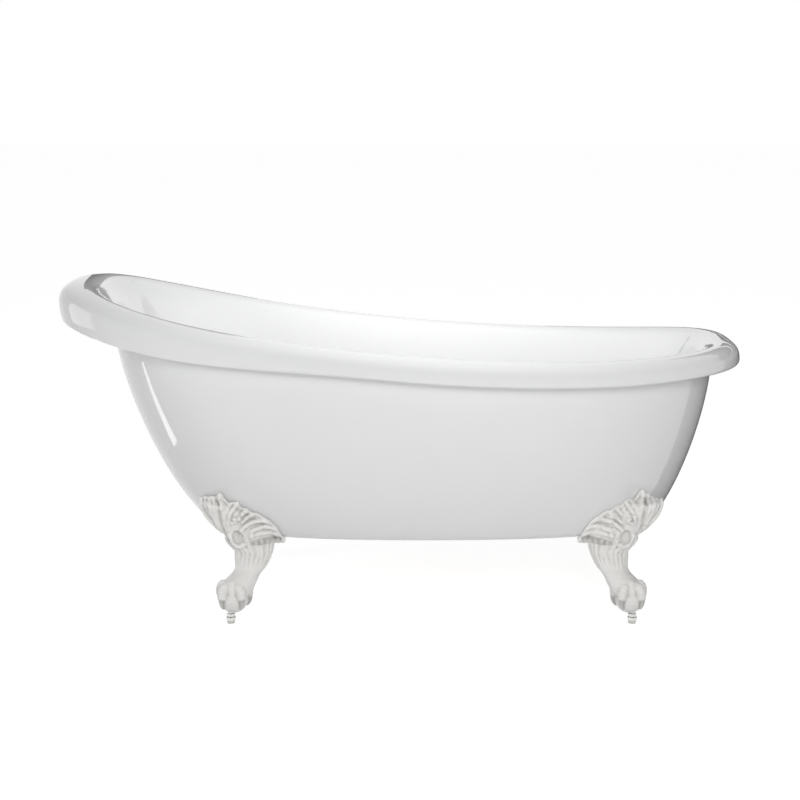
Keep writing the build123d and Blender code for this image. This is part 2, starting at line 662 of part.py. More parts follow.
def lock_nut(end, side):
    """Thin nut between the screw's collar and the bush."""
    x, y = corner_xy(end, side)
    low = levelling_heights()[1] + GEAR_GAP
    nut = hexagon(x, y, low, BALL_CLEARANCE_HEIGHT - GEAR_GAP, LOCK_NUT_ACROSS_FLATS)
    return nut - rod(x, y, low, bush_low(), THREAD_RADIUS + THREAD_CLEARANCE)


def threaded_bush(end, side):
    x, y = corner_xy(end, side)
    low = bush_low()
    return tube(x, y, low, low + BUSH_LENGTH, BUSH_RADIUS, THREAD_RADIUS + THREAD_CLEARANCE)


# ---------------------------------------------------------------- foot fasteners
def foot_bolt(x, y):
    head_top = WASHER_TOP - WASHER_THICKNESS
    bolt = hexagon(x, y, head_top - BOLT_HEAD_HEIGHT, head_top, BOLT_HEAD_ACROSS_FLATS)
    return bolt + rod(x, y, head_top, SKIRT_TOP_OF_BASE + BOLT_IN_INSERT, BOLT_RADIUS)


def foot_washer(x, y):
    return tube(x, y, WASHER_TOP - WASHER_THICKNESS, WASHER_TOP, WASHER_RADIUS, BOLT_HOLE_RADIUS)


def rail_insert(x, y):
    top = SKIRT_TOP_OF_BASE + INSERT_LENGTH
    return tube(x, y, SKIRT_TOP_OF_BASE, top, INSERT_RADIUS - BUSH_CLEARANCE, BOLT_RADIUS + THREAD_CLEARANCE)


# ---------------------------------------------------------------- waste
WASTE_SEAL_TOP = FLOOR_TOP + UPPER_SEAL_THICKNESS
WASTE_FLANGE_TOP = WASTE_SEAL_TOP + WASTE_FLANGE_THICKNESS
WASTE_TUBE_LOW = WASTE_FLANGE_TOP - WASTE_TUBE_LENGTH
SHOE_TOP = FLOOR_UNDERSIDE - LOWER_SEAL_THICKNESS
SHOE_LOW = SHOE_TOP - SHOE_LENGTH
SHOE_RADIUS = WASTE_TUBE_RADIUS + THREAD_GAP + SHOE_WALL
BRANCH_Z = FLOOR_UNDERSIDE - BRANCH_DROP
BRANCH_END_X = DRAIN_X + BRANCH_REACH
OUTLET_LOW = SHOE_LOW - OUTLET_LENGTH
TAIL_TOP = OUTLET_LOW + TAIL_IN_OUTLET
TAIL_LOW = TAIL_TOP - TAIL_LENGTH
TAIL_NUT_LOW = OUTLET_LOW - TAIL_NUT_HEIGHT / 2
PLUG_SEAL_LOW = WASTE_FLANGE_TOP + SEAT_GAP
PLUG_LOW = PLUG_SEAL_LOW + PLUG_SEAL_THICKNESS


def waste_spider():
    """Three arms inside the waste's tube that hold the plug's cartridge."""
    arms = rod(DRAIN_X, 0, WASTE_TUBE_LOW, WASTE_TUBE_LOW + SPIDER_HEIGHT, SPIDER_BOSS_RADIUS)
    for index in range(SPIDER_ARM_COUNT):
        arm = Pos(WASTE_BORE_RADIUS / 2, 0, SPIDER_HEIGHT / 2) * Box(
            WASTE_BORE_RADIUS + SPIDER_ARM_WIDTH / 2, SPIDER_ARM_WIDTH, SPIDER_HEIGHT)
        arms += Pos(DRAIN_X, 0, WASTE_TUBE_LOW) * Rot(0, 0, index * 360 / SPIDER_ARM_COUNT) * arm
    return arms


def waste_flange():
    flange = rod(DRAIN_X, 0, WASTE_SEAL_TOP, WASTE_FLANGE_TOP, WASTE_FLANGE_RADIUS)
    flange = fillet(flange.edges().group_by(Axis.Z)[-1], WASTE_FLANGE_THICKNESS / 2)
    body = flange + rod(DRAIN_X, 0, WASTE_TUBE_LOW, WASTE_SEAL_TOP, WASTE_TUBE_RADIUS)
    body -= rod(DRAIN_X, 0, WASTE_TUBE_LOW, WASTE_FLANGE_TOP, WASTE_BORE_RADIUS)
    return body + waste_spider() - rod(DRAIN_X, 0, WASTE_TUBE_LOW, WASTE_FLANGE_TOP, CARTRIDGE_RADIUS)


def waste_shoe():
    """Body under the floor: flange, overflow branch and outlet."""
    body = rod(DRAIN_X, 0, SHOE_TOP - SHOE_FLANGE_THICKNESS, SHOE_TOP, SHOE_FLANGE_RADIUS)
    body += rod(DRAIN_X, 0, SHOE_LOW, SHOE_TOP, SHOE_RADIUS)
    body += rod(DRAIN_X, 0, OUTLET_LOW, SHOE_LOW, OUTLET_RADIUS)
    branch = Pos(DRAIN_X, 0, BRANCH_Z) * Rot(0, 90, 0)
    body += branch * disc(BRANCH_RADIUS, BRANCH_REACH)
    body -= rod(DRAIN_X, 0, SHOE_LOW + SHOE_WALL, SHOE_TOP, WASTE_TUBE_RADIUS + THREAD_GAP)
    body -= rod(DRAIN_X, 0, OUTLET_LOW, SHOE_TOP, TAIL_NECK_RADIUS + THREAD_GAP)
    return body - branch * disc(PIPE_RADIUS + THREAD_GAP, BRANCH_REACH)


def tailpiece():
    """Waste pipe's stub: full size below its nut, necked where it slides up into the outlet."""
    bore = TAIL_NECK_RADIUS - TAIL_WALL
    neck = tube(DRAIN_X, 0, TAIL_LOW, TAIL_TOP, TAIL_NECK_RADIUS, bore)
    return neck + tube(DRAIN_X, 0, TAIL_LOW, TAIL_NUT_LOW - SEAT_GAP, TAIL_RADIUS, bore)


def tail_nut():
    """Slip nut on the outlet, with ribs to grip."""
    top = TAIL_NUT_LOW + TAIL_NUT_HEIGHT
    nut = tube(DRAIN_X, 0, TAIL_NUT_LOW, top, TAIL_NUT_RADIUS, OUTLET_RADIUS + THREAD_GAP)
    lid_top = OUTLET_LOW - SEAT_GAP
    lid = tube(DRAIN_X, 0, TAIL_NUT_LOW, lid_top, TAIL_NUT_RADIUS, TAIL_NECK_RADIUS + THREAD_GAP)
    return nut + lid


def plug_stem():
    low = WASTE_TUBE_LOW + SPIDER_HEIGHT / 2
    return rod(DRAIN_X, 0, low, PLUG_LOW, STEM_RADIUS)


def plug_cartridge():
    low = WASTE_TUBE_LOW
    bore = STEM_RADIUS + STEM_CLEARANCE
    return tube(DRAIN_X, 0, low, low + CARTRIDGE_LENGTH, CARTRIDGE_RADIUS - BUSH_CLEARANCE, bore)


def drain_plug():
    """Low domed cap that lifts off the waste."""
    cap = rod(DRAIN_X, 0, PLUG_LOW, PLUG_LOW + PLUG_THICKNESS, PLUG_RADIUS)
    return fillet(cap.edges().group_by(Axis.Z)[-1], PLUG_EDGE)


def plug_seal():
    return tube(DRAIN_X, 0, PLUG_SEAL_LOW, PLUG_LOW, PLUG_SEAL_OUTER, PLUG_SEAL_INNER)


# ---------------------------------------------------------------- overflow
ELBOW_TOP = -TUB_WALL - OVERFLOW_SEAL_SEAT - OVERFLOW_SEAL_THICKNESS


def overflow_face():
    """Slotted disc in the basin, screwed through the wall by its hollow neck."""
    face = disc(OVERFLOW_FACE_RADIUS, OVERFLOW_FACE_THICKNESS)
    face = fillet(face.edges().group_by(Axis.Z)[-1], OVERFLOW_FACE_THICKNESS / 2)
    for index in range(OVERFLOW_SLOT_COUNT):
        shift = (index - (OVERFLOW_SLOT_COUNT - 1) / 2) * OVERFLOW_SLOT_PITCH
        room = (OVERFLOW_NECK_RADIUS - OVERFLOW_SLOT_WIDTH) ** 2 - shift ** 2
        length = 2 * max(room, OVERFLOW_SLOT_WIDTH ** 2) ** 0.5
        face -= Pos(0, shift, OVERFLOW_FACE_THICKNESS / 2) * Box(
            length, OVERFLOW_SLOT_WIDTH, 2 * OVERFLOW_FACE_THICKNESS)
    neck_length = OVERFLOW_FACE_SEAT - ELBOW_TOP + ELBOW_FLANGE_THICKNESS
    neck = disc(OVERFLOW_NECK_RADIUS, neck_length) - disc(OVERFLOW_NECK_RADIUS - ELBOW_WALL, neck_length)
    return on_overflow(face, OVERFLOW_FACE_SEAT) + on_overflow(neck, OVERFLOW_FACE_SEAT - neck_length)


def overflow_seal():
    """Soft ring behind the wall, squeezed by the elbow."""
    seal = disc(ELBOW_RADIUS, OVERFLOW_SEAL_THICKNESS) - disc(OVERFLOW_NECK_RADIUS + THREAD_GAP,
                                                             OVERFLOW_SEAL_THICKNESS)
    return on_overflow(seal, ELBOW_TOP)


def spout_axis():
    """Where the elbow's spout starts and which way it points: down behind the wall."""
    start = OVERFLOW.from_local_coords((0, 0, ELBOW_TOP - ELBOW_FLANGE_THICKNESS - ELBOW_DEPTH / 2))
    down = OVERFLOW.y_dir if OVERFLOW.y_dir.Z < 0 else OVERFLOW.y_dir * -1
    return start, down


def spout(radius, start_at, end_at):
    start, down = spout_axis()
    plane = Plane(origin=start + down * start_at, z_dir=down)
    return plane * disc(radius, end_at - start_at)


def overflow_elbow():
    body = on_overflow(disc(ELBOW_RADIUS, ELBOW_FLANGE_THICKNESS), ELBOW_TOP - ELBOW_FLANGE_THICKNESS)
    box = disc(ELBOW_RADIUS - ELBOW_WALL, ELBOW_DEPTH)
    bottom = ELBOW_TOP - ELBOW_FLANGE_THICKNESS - ELBOW_DEPTH
    body += on_overflow(box, bottom)
    body += spout(PIPE_RADIUS + ELBOW_WALL, 0, ELBOW_RADIUS + ELBOW_SPOUT_LENGTH)
    hollow = disc(ELBOW_RADIUS - 2 * ELBOW_WALL, ELBOW_DEPTH - ELBOW_WALL)
    body -= on_overflow(hollow, bottom + ELBOW_WALL)
    body -= on_overflow(disc(OVERFLOW_NECK_RADIUS + THREAD_GAP, ELBOW_DEPTH), bottom + ELBOW_DEPTH)
    return body - spout(PIPE_RADIUS + THREAD_GAP, 0, ELBOW_RADIUS + ELBOW_SPOUT_LENGTH)


def cavity_middle(height):
    """Middle of the space between the two shells on the drain end's centre line."""
    basin = basin_rows()[:BASIN_LEVELS, 0]
    skirt = skirt_rows(with_flange=False)[:, 0]
    inner = np.interp(height, basin[:, 2], basin[:, 0]) + TUB_WALL
    order = np.argsort(skirt[:, 2])
    outer = np.interp(height, skirt[order, 2], skirt[order, 0]) - SKIRT_WALL
    return float((inner + outer) / 2)


def pipe_route():
    start, down = spout_axis()
    first = start + down * ELBOW_RADIUS
    second = start + down * (ELBOW_RADIUS + ELBOW_SPOUT_LENGTH + PIPE_BEND)
    drop = second.Z - BRANCH_Z
    heights = [second.Z - drop * share for share in PIPE_WAYPOINTS]
    middle = [(cavity_middle(z), 0, z) for z in heights]
    foot_x = cavity_middle(BRANCH_Z + PIPE_BEND)
    corner = (foot_x - PIPE_BEND / 2, 0, BRANCH_Z)
    return [tuple(first), tuple(second), *middle, corner, (BRANCH_END_X - BRANCH_RADIUS, 0, BRANCH_Z)]


def overflow_pipe():
    """Plain plastic pipe from the elbow down between the shells to the waste's branch."""
    points = [Vector(*p) for p in pipe_route()]
    path = FilletPolyline(*points, radius=PIPE_BEND)
    section = Circle(PIPE_RADIUS) - Circle(PIPE_RADIUS - PIPE_WALL)
    return sweep(Plane(origin=path @ 0, z_dir=path % 0) * section, path=path)


def pipe_nuts():
    start, down = spout_axis()
    reach = ELBOW_RADIUS + ELBOW_SPOUT_LENGTH
    top = spout(PIPE_NUT_RADIUS, reach - PIPE_NUT_LENGTH / 2, reach + PIPE_NUT_LENGTH / 2)
    top -= spout(PIPE_RADIUS + ELBOW_WALL + THREAD_GAP, reach - PIPE_NUT_LENGTH, reach + SEAT_GAP)
    top -= spout(PIPE_RADIUS + THREAD_GAP, reach - PIPE_NUT_LENGTH, reach + PIPE_NUT_LENGTH)
    axis = Pos(BRANCH_END_X - PIPE_NUT_LENGTH / 2, 0, BRANCH_Z) * Rot(0, 90, 0)
    low = axis * disc(BRANCH_RADIUS + ELBOW_WALL, PIPE_NUT_LENGTH)
    low -= axis * disc(BRANCH_RADIUS + THREAD_GAP, PIPE_NUT_LENGTH / 2 + SEAT_GAP)
    low -= axis * disc(PIPE_RADIUS + THREAD_GAP, PIPE_NUT_LENGTH)
    return joined([top, low])


# ---------------------------------------------------------------- write the nodes
def build():
    parts = {
        "inner_tub": inner_tub(),
        "outer_skirt": outer_skirt(),
        "base_board": base_board(),
        "support_rail_front": support_rail("front"),
        "support_rail_back": support_rail("back"),
        "rail_inserts": joined(rail_insert(x, y) for x, y in all_bolt_places()),
        "foot_bolts": joined(foot_bolt(x, y) for x, y in all_bolt_places()),
        "foot_washers": joined(foot_washer(x, y) for x, y in all_bolt_places()),
        "threaded_bushes": joined(threaded_bush(*corner) for corner in CORNERS),
        "lock_nuts": joined(lock_nut(*corner) for corner in CORNERS),
        "waste_flange": waste_flange(),
        "waste_upper_seal": tube(DRAIN_X, 0, FLOOR_TOP, WASTE_SEAL_TOP, WASTE_FLANGE_RADIUS - SEAT_GAP,
                                 WASTE_TUBE_RADIUS + THREAD_GAP),
        "waste_lower_seal": tube(DRAIN_X, 0, SHOE_TOP, FLOOR_UNDERSIDE, SHOE_FLANGE_RADIUS,
                                 WASTE_TUBE_RADIUS + THREAD_GAP),
        "waste_shoe": waste_shoe(),
        "tail_nut": tail_nut(),
        "tailpiece": tailpiece(),
        "plug_cartridge": plug_cartridge(),
        "plug_stem": plug_stem(),
        "drain_plug": drain_plug(),
        "plug_seal": plug_seal(),
        "overflow_face": overflow_face(),
        "overflow_seal": overflow_seal(),
        "overflow_elbow": overflow_elbow(),
        "overflow_pipe": overflow_pipe(),
        "pipe_nuts": pipe_nuts(),
    }
    skirt = skirt_solid(PLATE_CLEARANCE + PLATE_THICKNESS / 2, UNDERSIDE_HEIGHT)
    for end in END_SIGN:
        foot = front_foot(end, skirt)
        parts[f"claw_foot_{end}_front"] = foot
        parts[f"claw_foot_{end}_back"] = mirrored(foot)
        for side in SIDE_SIGN:
            parts[f"levelling_screw_{end}_{side}"] = levelling_screw(end, side)
            parts[f"levelling_pad_{end}_{side}"] = levelling_pad(end, side)
    return parts


os.makedirs("parts", exist_ok=True)
for name, shape in build().items():
    export_step(shape, f"parts/{name}.step")
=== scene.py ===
import json
from math import cos, pi, radians, sin

import bmesh
import bpy
import numpy as np
from mathutils import Matrix, Vector
from mathutils.bvhtree import BVHTree


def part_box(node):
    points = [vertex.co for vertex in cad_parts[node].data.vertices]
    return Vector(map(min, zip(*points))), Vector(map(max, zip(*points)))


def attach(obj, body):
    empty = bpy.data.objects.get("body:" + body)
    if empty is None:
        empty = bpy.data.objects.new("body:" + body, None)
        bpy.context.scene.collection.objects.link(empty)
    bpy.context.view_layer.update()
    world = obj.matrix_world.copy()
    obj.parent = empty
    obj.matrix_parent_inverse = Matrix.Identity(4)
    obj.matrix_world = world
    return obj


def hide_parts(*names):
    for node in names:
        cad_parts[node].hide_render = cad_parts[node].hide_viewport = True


# Looks of a double-skinned slipper bath on four cast ball-and-claw feet. Metres, in the frame's axes:
# +Z up, +X from the high sloping back (head end) to the drain end, -Y towards the viewer.
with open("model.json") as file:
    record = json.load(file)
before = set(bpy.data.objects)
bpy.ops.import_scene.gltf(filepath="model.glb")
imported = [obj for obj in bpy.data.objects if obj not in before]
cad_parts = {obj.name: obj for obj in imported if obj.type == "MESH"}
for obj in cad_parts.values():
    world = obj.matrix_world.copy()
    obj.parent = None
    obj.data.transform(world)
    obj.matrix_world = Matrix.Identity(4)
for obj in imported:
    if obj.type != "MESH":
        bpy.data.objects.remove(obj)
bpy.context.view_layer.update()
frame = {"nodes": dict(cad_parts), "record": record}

# ---------------------------------------------------------------- sizes of the bath
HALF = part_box("inner_tub")[1].x
TUB_HALF_WIDTH = 0.385
WIDEST_X = -0.390
HEAD_FULLNESS = 2.62
DRAIN_FULLNESS = 3.28
HEAD_HEIGHT = 0.827
LOW_HEIGHT = 0.656
DRAIN_HEIGHT = 0.680
LOWEST_X = 0.450
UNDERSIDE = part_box("outer_skirt")[0].z
FLOOR_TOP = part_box("waste_upper_seal")[0].z

CROWN_INSET = 0.056
CROWN_INSET_EXTRA_HEAD = 0.010
ROLL_OUTER_DROP = 0.0465
ROLL_OUTER_FULLNESS = 2.5
ROLL_INNER_WIDTH = 0.036
ROLL_INNER_DROP = 0.030
ROLL_INNER_START = 20.0
RIM_DEPTH = 0.054
RIM_DEPTH_EXTRA_HEAD = 0.029
DEPTH_CHANGE_START_X = -0.050
DEPTH_CHANGE_LENGTH = 0.600
LIP_UNDERCUT = 0.005
HEAD_TILT = 0.20
HEAD_TILT_START_X = -0.300

WALL = 0.005
SEAM_GAP = 0.0006
NECK_INSETS = (0.131, 0.069, 0.043)          # head end, drain end, side
BASE_INSETS = (0.370, 0.216, 0.147)
FLOOR_INSETS = (0.410, 0.275, 0.185)
OPENING_INSETS = (0.100, 0.074)              # service opening, from the base outline's ends
OPENING_HALF_WIDTH = 0.110
BASE_FULLNESS = 2.8
FLOOR_FULLNESS = 2.5
SKIRT_CURVE = ((0.035, 0.266), (0.459, 0.799))
BASIN_CURVE = ((0.45, 0.25), (0.55, 1.0))
NECK_RADIUS_REACH = 0.012
BASE_RADIUS_REACH = 0.016
UNDERSIDE_LAND = 0.045
EDGE_REACH = 0.0016                          # softened edges of the moulded sheet
WASTE_HOLE_RADIUS = 0.026
OVERFLOW_HOLE_RADIUS = 0.022

STATIONS = 144
BASIN_LEVELS = 24
ROLL_LEVELS = 9
SKIRT_LEVELS = 18
FLOOR_SHARES = (0.05, 0.25, 0.6)             # extra rings between the waste's hole and the floor's edge
UNDER_FLOOR_SHARES = (0.4, 0.75, 0.95)
WELD = 1e-6

PAD_BOX = {end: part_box(f"levelling_pad_{end}_front") for end in ("head", "drain")}
PAD_X = {end: (low.x + high.x) / 2 for end, (low, high) in PAD_BOX.items()}
PAD_Y = (PAD_BOX["head"][0].y + PAD_BOX["head"][1].y) / 2
END_SIGN = {"head": -1, "drain": 1}


# ---------------------------------------------------------------- the bath's form, as rings of points
def smooth_step(share):
    share = np.clip(share, 0, 1)
    return share * share * (3 - 2 * share)


def crown_height(x):
    """Height of the rim's crown line: two parabolas that meet at its lowest point."""
    toward_head = np.clip((LOWEST_X - x) / (LOWEST_X + HALF), 0, None)
    toward_drain = np.clip((x - LOWEST_X) / (HALF - LOWEST_X), 0, None)
    rise_head = (HEAD_HEIGHT - LOW_HEIGHT) * toward_head ** 2
    return LOW_HEIGHT + rise_head + (DRAIN_HEIGHT - LOW_HEIGHT) * toward_drain ** 2


def oval(angles, head_x, drain_x, half_width, widest_x, head_fullness, drain_fullness):
    """Plan outline: two superellipse halves that meet at the widest station."""
    along, across = np.cos(angles), np.sin(angles)
    fullness = np.where(along > 0, drain_fullness, head_fullness)
    reach = np.where(along > 0, drain_x - widest_x, widest_x - head_x)
    x = widest_x + reach * np.sign(along) * np.abs(along) ** (2 / fullness)
    y = half_width * np.sign(across) * np.abs(across) ** (2 / fullness)
    return np.stack([x, y], -1)


def rim_oval(angles):
    return oval(angles, -HALF, HALF, TUB_HALF_WIDTH, WIDEST_X, HEAD_FULLNESS, DRAIN_FULLNESS)


def station_angles(count, steps=20000):
    """Outline angles that space the stations evenly along the rim."""
    angles = np.linspace(0, 2 * pi, steps + 1)
    lengths = np.hypot(*np.diff(rim_oval(angles), axis=0).T)
    travelled = np.concatenate([[0], np.cumsum(lengths)])
    return np.interp(np.arange(count) / count * travelled[-1], travelled, angles)


ANGLES = station_angles(STATIONS)
ANGLE_STEP = 1e-4
RIM_XY = rim_oval(ANGLES)
TANGENT = rim_oval(ANGLES + ANGLE_STEP) - rim_oval(ANGLES - ANGLE_STEP)
OUTWARD = np.stack([TANGENT[:, 1], -TANGENT[:, 0]], -1) / np.hypot(*TANGENT.T)[:, None]
HEADNESS = smooth_step((DEPTH_CHANGE_START_X - RIM_XY[:, 0]) / DEPTH_CHANGE_LENGTH)
HEAD_SHARE = np.clip((HEAD_TILT_START_X - RIM_XY[:, 0]) / (HALF + HEAD_TILT_START_X), 0, 1) ** 2
DEPTH = RIM_DEPTH + RIM_DEPTH_EXTRA_HEAD * HEADNESS
CROWN = CROWN_INSET + CROWN_INSET_EXTRA_HEAD * HEAD_SHARE
TILT = HEAD_TILT * HEAD_SHARE


def with_height(xy, z):
    return np.concatenate([xy, np.broadcast_to(z, len(xy))[:, None]], 1)


def rim_ring(inward, below):
    """Ring of points at a distance inward from the rim outline and below the crown line."""
    inward = np.broadcast_to(inward, STATIONS)
    xy = RIM_XY - OUTWARD * inward[:, None]
    return with_height(xy, crown_height(xy[:, 0]) - below + TILT * inward)


def curve_share(handles, at):
    """Point of a cubic Bezier from (0, 0) to (1, 1): share of the run, share of the drop."""
    first, second = 3 * at * (1 - at) ** 2, 3 * at ** 2 * (1 - at)
    return tuple(first * handles[0][i] + second * handles[1][i] + at ** 3 for i in (0, 1))


def wall_ring(top, foot, handles, at):
    run, drop = curve_share(handles, at)
    return np.concatenate([top[:, :2] * (1 - run) + foot[:, :2] * run,
                           top[:, 2:] * (1 - drop) + foot[:, 2:] * drop], 1)


def round_corner(before, corner, after, reach):
    """Three rings that turn a sharp corner between rings into a rounded one."""
    def toward(other):
        way = other - corner
        return corner + way * reach / np.linalg.norm(way, axis=1)[:, None]
    start, end = toward(before), toward(after)
    return [start, (start + 2 * corner + end) / 4, end]


def plan(insets, fullness, half_width=None):
    head_x, drain_x = -HALF + insets[0], HALF - insets[1]
    if half_width is None:
        half_width = TUB_HALF_WIDTH - insets[2]
    return oval(ANGLES, head_x, drain_x, half_width, (head_x + drain_x) / 2, fullness, fullness)


def normals(rings):
    """Unit normals of a grid of rings, pointing away from the material behind it."""
    around = np.roll(rings, -1, 1) - np.roll(rings, 1, 1)
    normal = np.cross(around, np.gradient(rings, axis=0))
    return normal / np.linalg.norm(normal, axis=2)[..., None]


def basin_rings():
    """Bathing side of the inner shell, from the flat floor over the rolled rim to its lip."""
    start = radians(ROLL_INNER_START)
    lip = rim_ring(CROWN + ROLL_INNER_WIDTH * cos(start), ROLL_INNER_DROP * (1 - sin(start)))
    floor = with_height(plan(FLOOR_INSETS, FLOOR_FULLNESS), FLOOR_TOP)
    rings = [wall_ring(lip, floor, BASIN_CURVE, at) for at in np.linspace(1, 0, BASIN_LEVELS)]
    for turn in np.linspace(start, pi / 2, ROLL_LEVELS)[1:]:
        rings.append(rim_ring(CROWN + ROLL_INNER_WIDTH * cos(turn), ROLL_INNER_DROP * (1 - sin(turn))))
    power = 2 / ROLL_OUTER_FULLNESS
    for turn in np.linspace(0, pi / 2, ROLL_LEVELS)[1:-1]:
        rings.append(rim_ring(CROWN * (1 - sin(turn) ** power), ROLL_OUTER_DROP * (1 - cos(turn) ** power)))
    rings.append(rim_ring(0, ROLL_OUTER_DROP))
    for share in (0.5, 1.0):
        below = ROLL_OUTER_DROP + (DEPTH - ROLL_OUTER_DROP) * share
        rings.append(rim_ring(LIP_UNDERCUT * share ** 2, below))
    return np.array(rings)


def skirt_rings():
    """Outer face of the skirt, from inside its flat underside up to the flange in the rim."""
    flange_edge = rim_ring(LIP_UNDERCUT + WALL + SEAM_GAP, DEPTH)
    neck_xy = oval(ANGLES, -HALF + NECK_INSETS[0], HALF - NECK_INSETS[1], TUB_HALF_WIDTH - NECK_INSETS[2],
                   WIDEST_X, HEAD_FULLNESS, DRAIN_FULLNESS)
    overhang = np.hypot(*(RIM_XY - neck_xy).T)
    neck = with_height(neck_xy, crown_height(neck_xy[:, 0]) - DEPTH + TILT * overhang)
    base = with_height(plan(BASE_INSETS, BASE_FULLNESS), UNDERSIDE)
    land = with_height(plan([inset + UNDERSIDE_LAND for inset in BASE_INSETS], BASE_FULLNESS), UNDERSIDE)
    walls = [wall_ring(neck, base, SKIRT_CURVE, at) for at in np.linspace(0, 1, SKIRT_LEVELS)[1:-1]]
    rings = [land] + round_corner(land, base, walls[-1], BASE_RADIUS_REACH) + walls[::-1]
    rings += round_corner(walls[0], neck, flange_edge, NECK_RADIUS_REACH)
    return np.array(rings + [(neck + flange_edge) / 2, flange_edge])


def soften(rings, index):
    """Replace a sharp ring of a closed stack by three that round its edge off."""
    before, after = rings[index - 1], rings[(index + 1) % len(rings)]
    return rings[:index] + round_corner(before, rings[index], after, EDGE_REACH) + rings[index + 1:]


def waste_hole(outline, height):
    """Circle round the waste whose points lie on straight lines from its centre to an outline's."""
    waste_x = (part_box("drain_plug")[0].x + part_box("drain_plug")[1].x) / 2
    way = outline[:, :2] - (waste_x, 0)
    circle = way / np.hypot(*way.T)[:, None] * WASTE_HOLE_RADIUS + (waste_x, 0)
    return with_height(circle, height)


def between(inner, outer, shares):
    return [inner * (1 - share) + outer * share for share in shares]


def tub_loop():
    """Inner shell: hole edge, floor, walls, rolled rim, lip, then back behind it to the hole."""
    seen = basin_rings()
    behind = seen + normals(seen) * WALL
    behind[0, :, 2] = FLOOR_TOP - WALL
    behind = behind[::-2] if len(behind) % 2 else np.concatenate([behind[::-2], behind[:1]])
    hole_top, hole_low = waste_hole(seen[0], FLOOR_TOP), waste_hole(seen[0], FLOOR_TOP - WALL)
    front = [hole_top, *between(hole_top, seen[0], FLOOR_SHARES), *seen]
    back = [*behind, *between(behind[-1], hole_low, UNDER_FLOOR_SHARES), hole_low]
    lip = len(front) - 1
    rings = front + back
    for index in (len(rings) - 1, lip + 1, lip, 0):
        rings = soften(rings, index)
    return np.array(rings)


def skirt_loop():
    """Outer skin: edge of the service opening, underside, walls, flange, then back behind it."""
    seen = skirt_rings()
    behind = seen - normals(seen) * WALL
    behind[0, :, 2] = UNDERSIDE + WALL
    behind = behind[::-2] if len(behind) % 2 else np.concatenate([behind[::-2], behind[:1]])
    opening = plan([BASE_INSETS[i] + OPENING_INSETS[i] for i in (0, 1)], BASE_FULLNESS, OPENING_HALF_WIDTH)
    low, high = with_height(opening, UNDERSIDE), with_height(opening, UNDERSIDE + WALL)
    front = [low, *between(low, seen[0], (0.5,)), *seen]
    flange = len(front) - 1
    rings = front + [*behind, *between(behind[-1], high, (0.5,)), high]
    for index in (len(rings) - 1, flange + 1, flange, 0):
        rings = soften(rings, index)
    return np.array(rings)


# ---------------------------------------------------------------- mesh helpers
def new_piece(name, bm):
    """Object at the origin from a bmesh, with its doubles merged and its faces pointing outwards."""
    bmesh.ops.remove_doubles(bm, verts=bm.verts, dist=WELD)
    bmesh.ops.recalc_face_normals(bm, faces=bm.faces)
    mesh = bpy.data.meshes.new(name)
    bm.to_mesh(mesh)
    bm.free()
    piece = bpy.data.objects.new(name, mesh)
    bpy.context.scene.collection.objects.link(piece)
    return piece


def shade_smooth(piece, sharp_degrees=None):
    piece.data.polygons.foreach_set("use_smooth", [True] * len(piece.data.polygons))
    if sharp_degrees is not None:
        piece.data.set_sharp_from_angle(angle=radians(sharp_degrees))
    piece.data.update()


def settle(piece):
    """Apply a piece's modifiers to its mesh."""
    graph = bpy.context.evaluated_depsgraph_get()
    mesh = bpy.data.meshes.new_from_object(piece.evaluated_get(graph), depsgraph=graph)
    old, piece.data = piece.data, mesh
    piece.modifiers.clear()
    bpy.data.meshes.remove(old)
    mesh.name = piece.name


def subdivide(piece, levels):
    modifier = piece.modifiers.new("subdivision", "SUBSURF")
    modifier.levels = modifier.render_levels = levels


def cut(piece, cutter, solver="EXACT"):
    """Subtract a closed piece, which is then removed."""
    modifier = piece.modifiers.new("cut", "BOOLEAN")
    modifier.operation, modifier.solver, modifier.object = "DIFFERENCE", solver, cutter
    settle(piece)
    bpy.data.objects.remove(cutter)


def rod_at(name, centre, axis, radius, length, segments=48):
    """Plain closed rod that starts at a point and runs along an axis."""
    bm = bmesh.new()
    bmesh.ops.create_cone(bm, cap_ends=True, segments=segments, radius1=radius, radius2=radius, depth=length)
    turn = Vector(axis).to_track_quat("Z", "Y").to_matrix().to_4x4()
    place = Matrix.Translation(centre) @ turn @ Matrix.Translation((0, 0, length / 2))
    bmesh.ops.transform(bm, matrix=place, verts=bm.verts)
    return new_piece(name, bm)


def loop_piece(name, rings):
    """Closed skin through a stack of closed rings, whose last ring joins the first."""
    count, stations = rings.shape[:2]
    bm = bmesh.new()
    bmesh.ops.create_grid(bm, x_segments=stations, y_segments=count, size=1)
    wrapped = np.pad(rings, ((0, 1), (0, 1), (0, 0)), mode="wrap").reshape(-1, 3)
    for vert, place in zip(bm.verts, wrapped):
        vert.co = place
    return new_piece(name, bm)


def loft(bm, rings):
    """Skin through a stack of rings with a flat face across each ring, added to a bmesh."""
    made = bmesh.ops.create_circle(bm, cap_ends=True, segments=len(rings[0]), radius=1)
    cap = made["verts"][0].link_faces[0]
    for vert, place in zip(cap.verts, rings[0]):
        vert.co = place
    for ring in rings[1:]:
        grown = bmesh.ops.extrude_face_region(bm, geom=[cap])
        cap = next(item for item in grown["geom"] if isinstance(item, bmesh.types.BMFace))
        for vert, place in zip(cap.verts, ring):
            vert.co = place


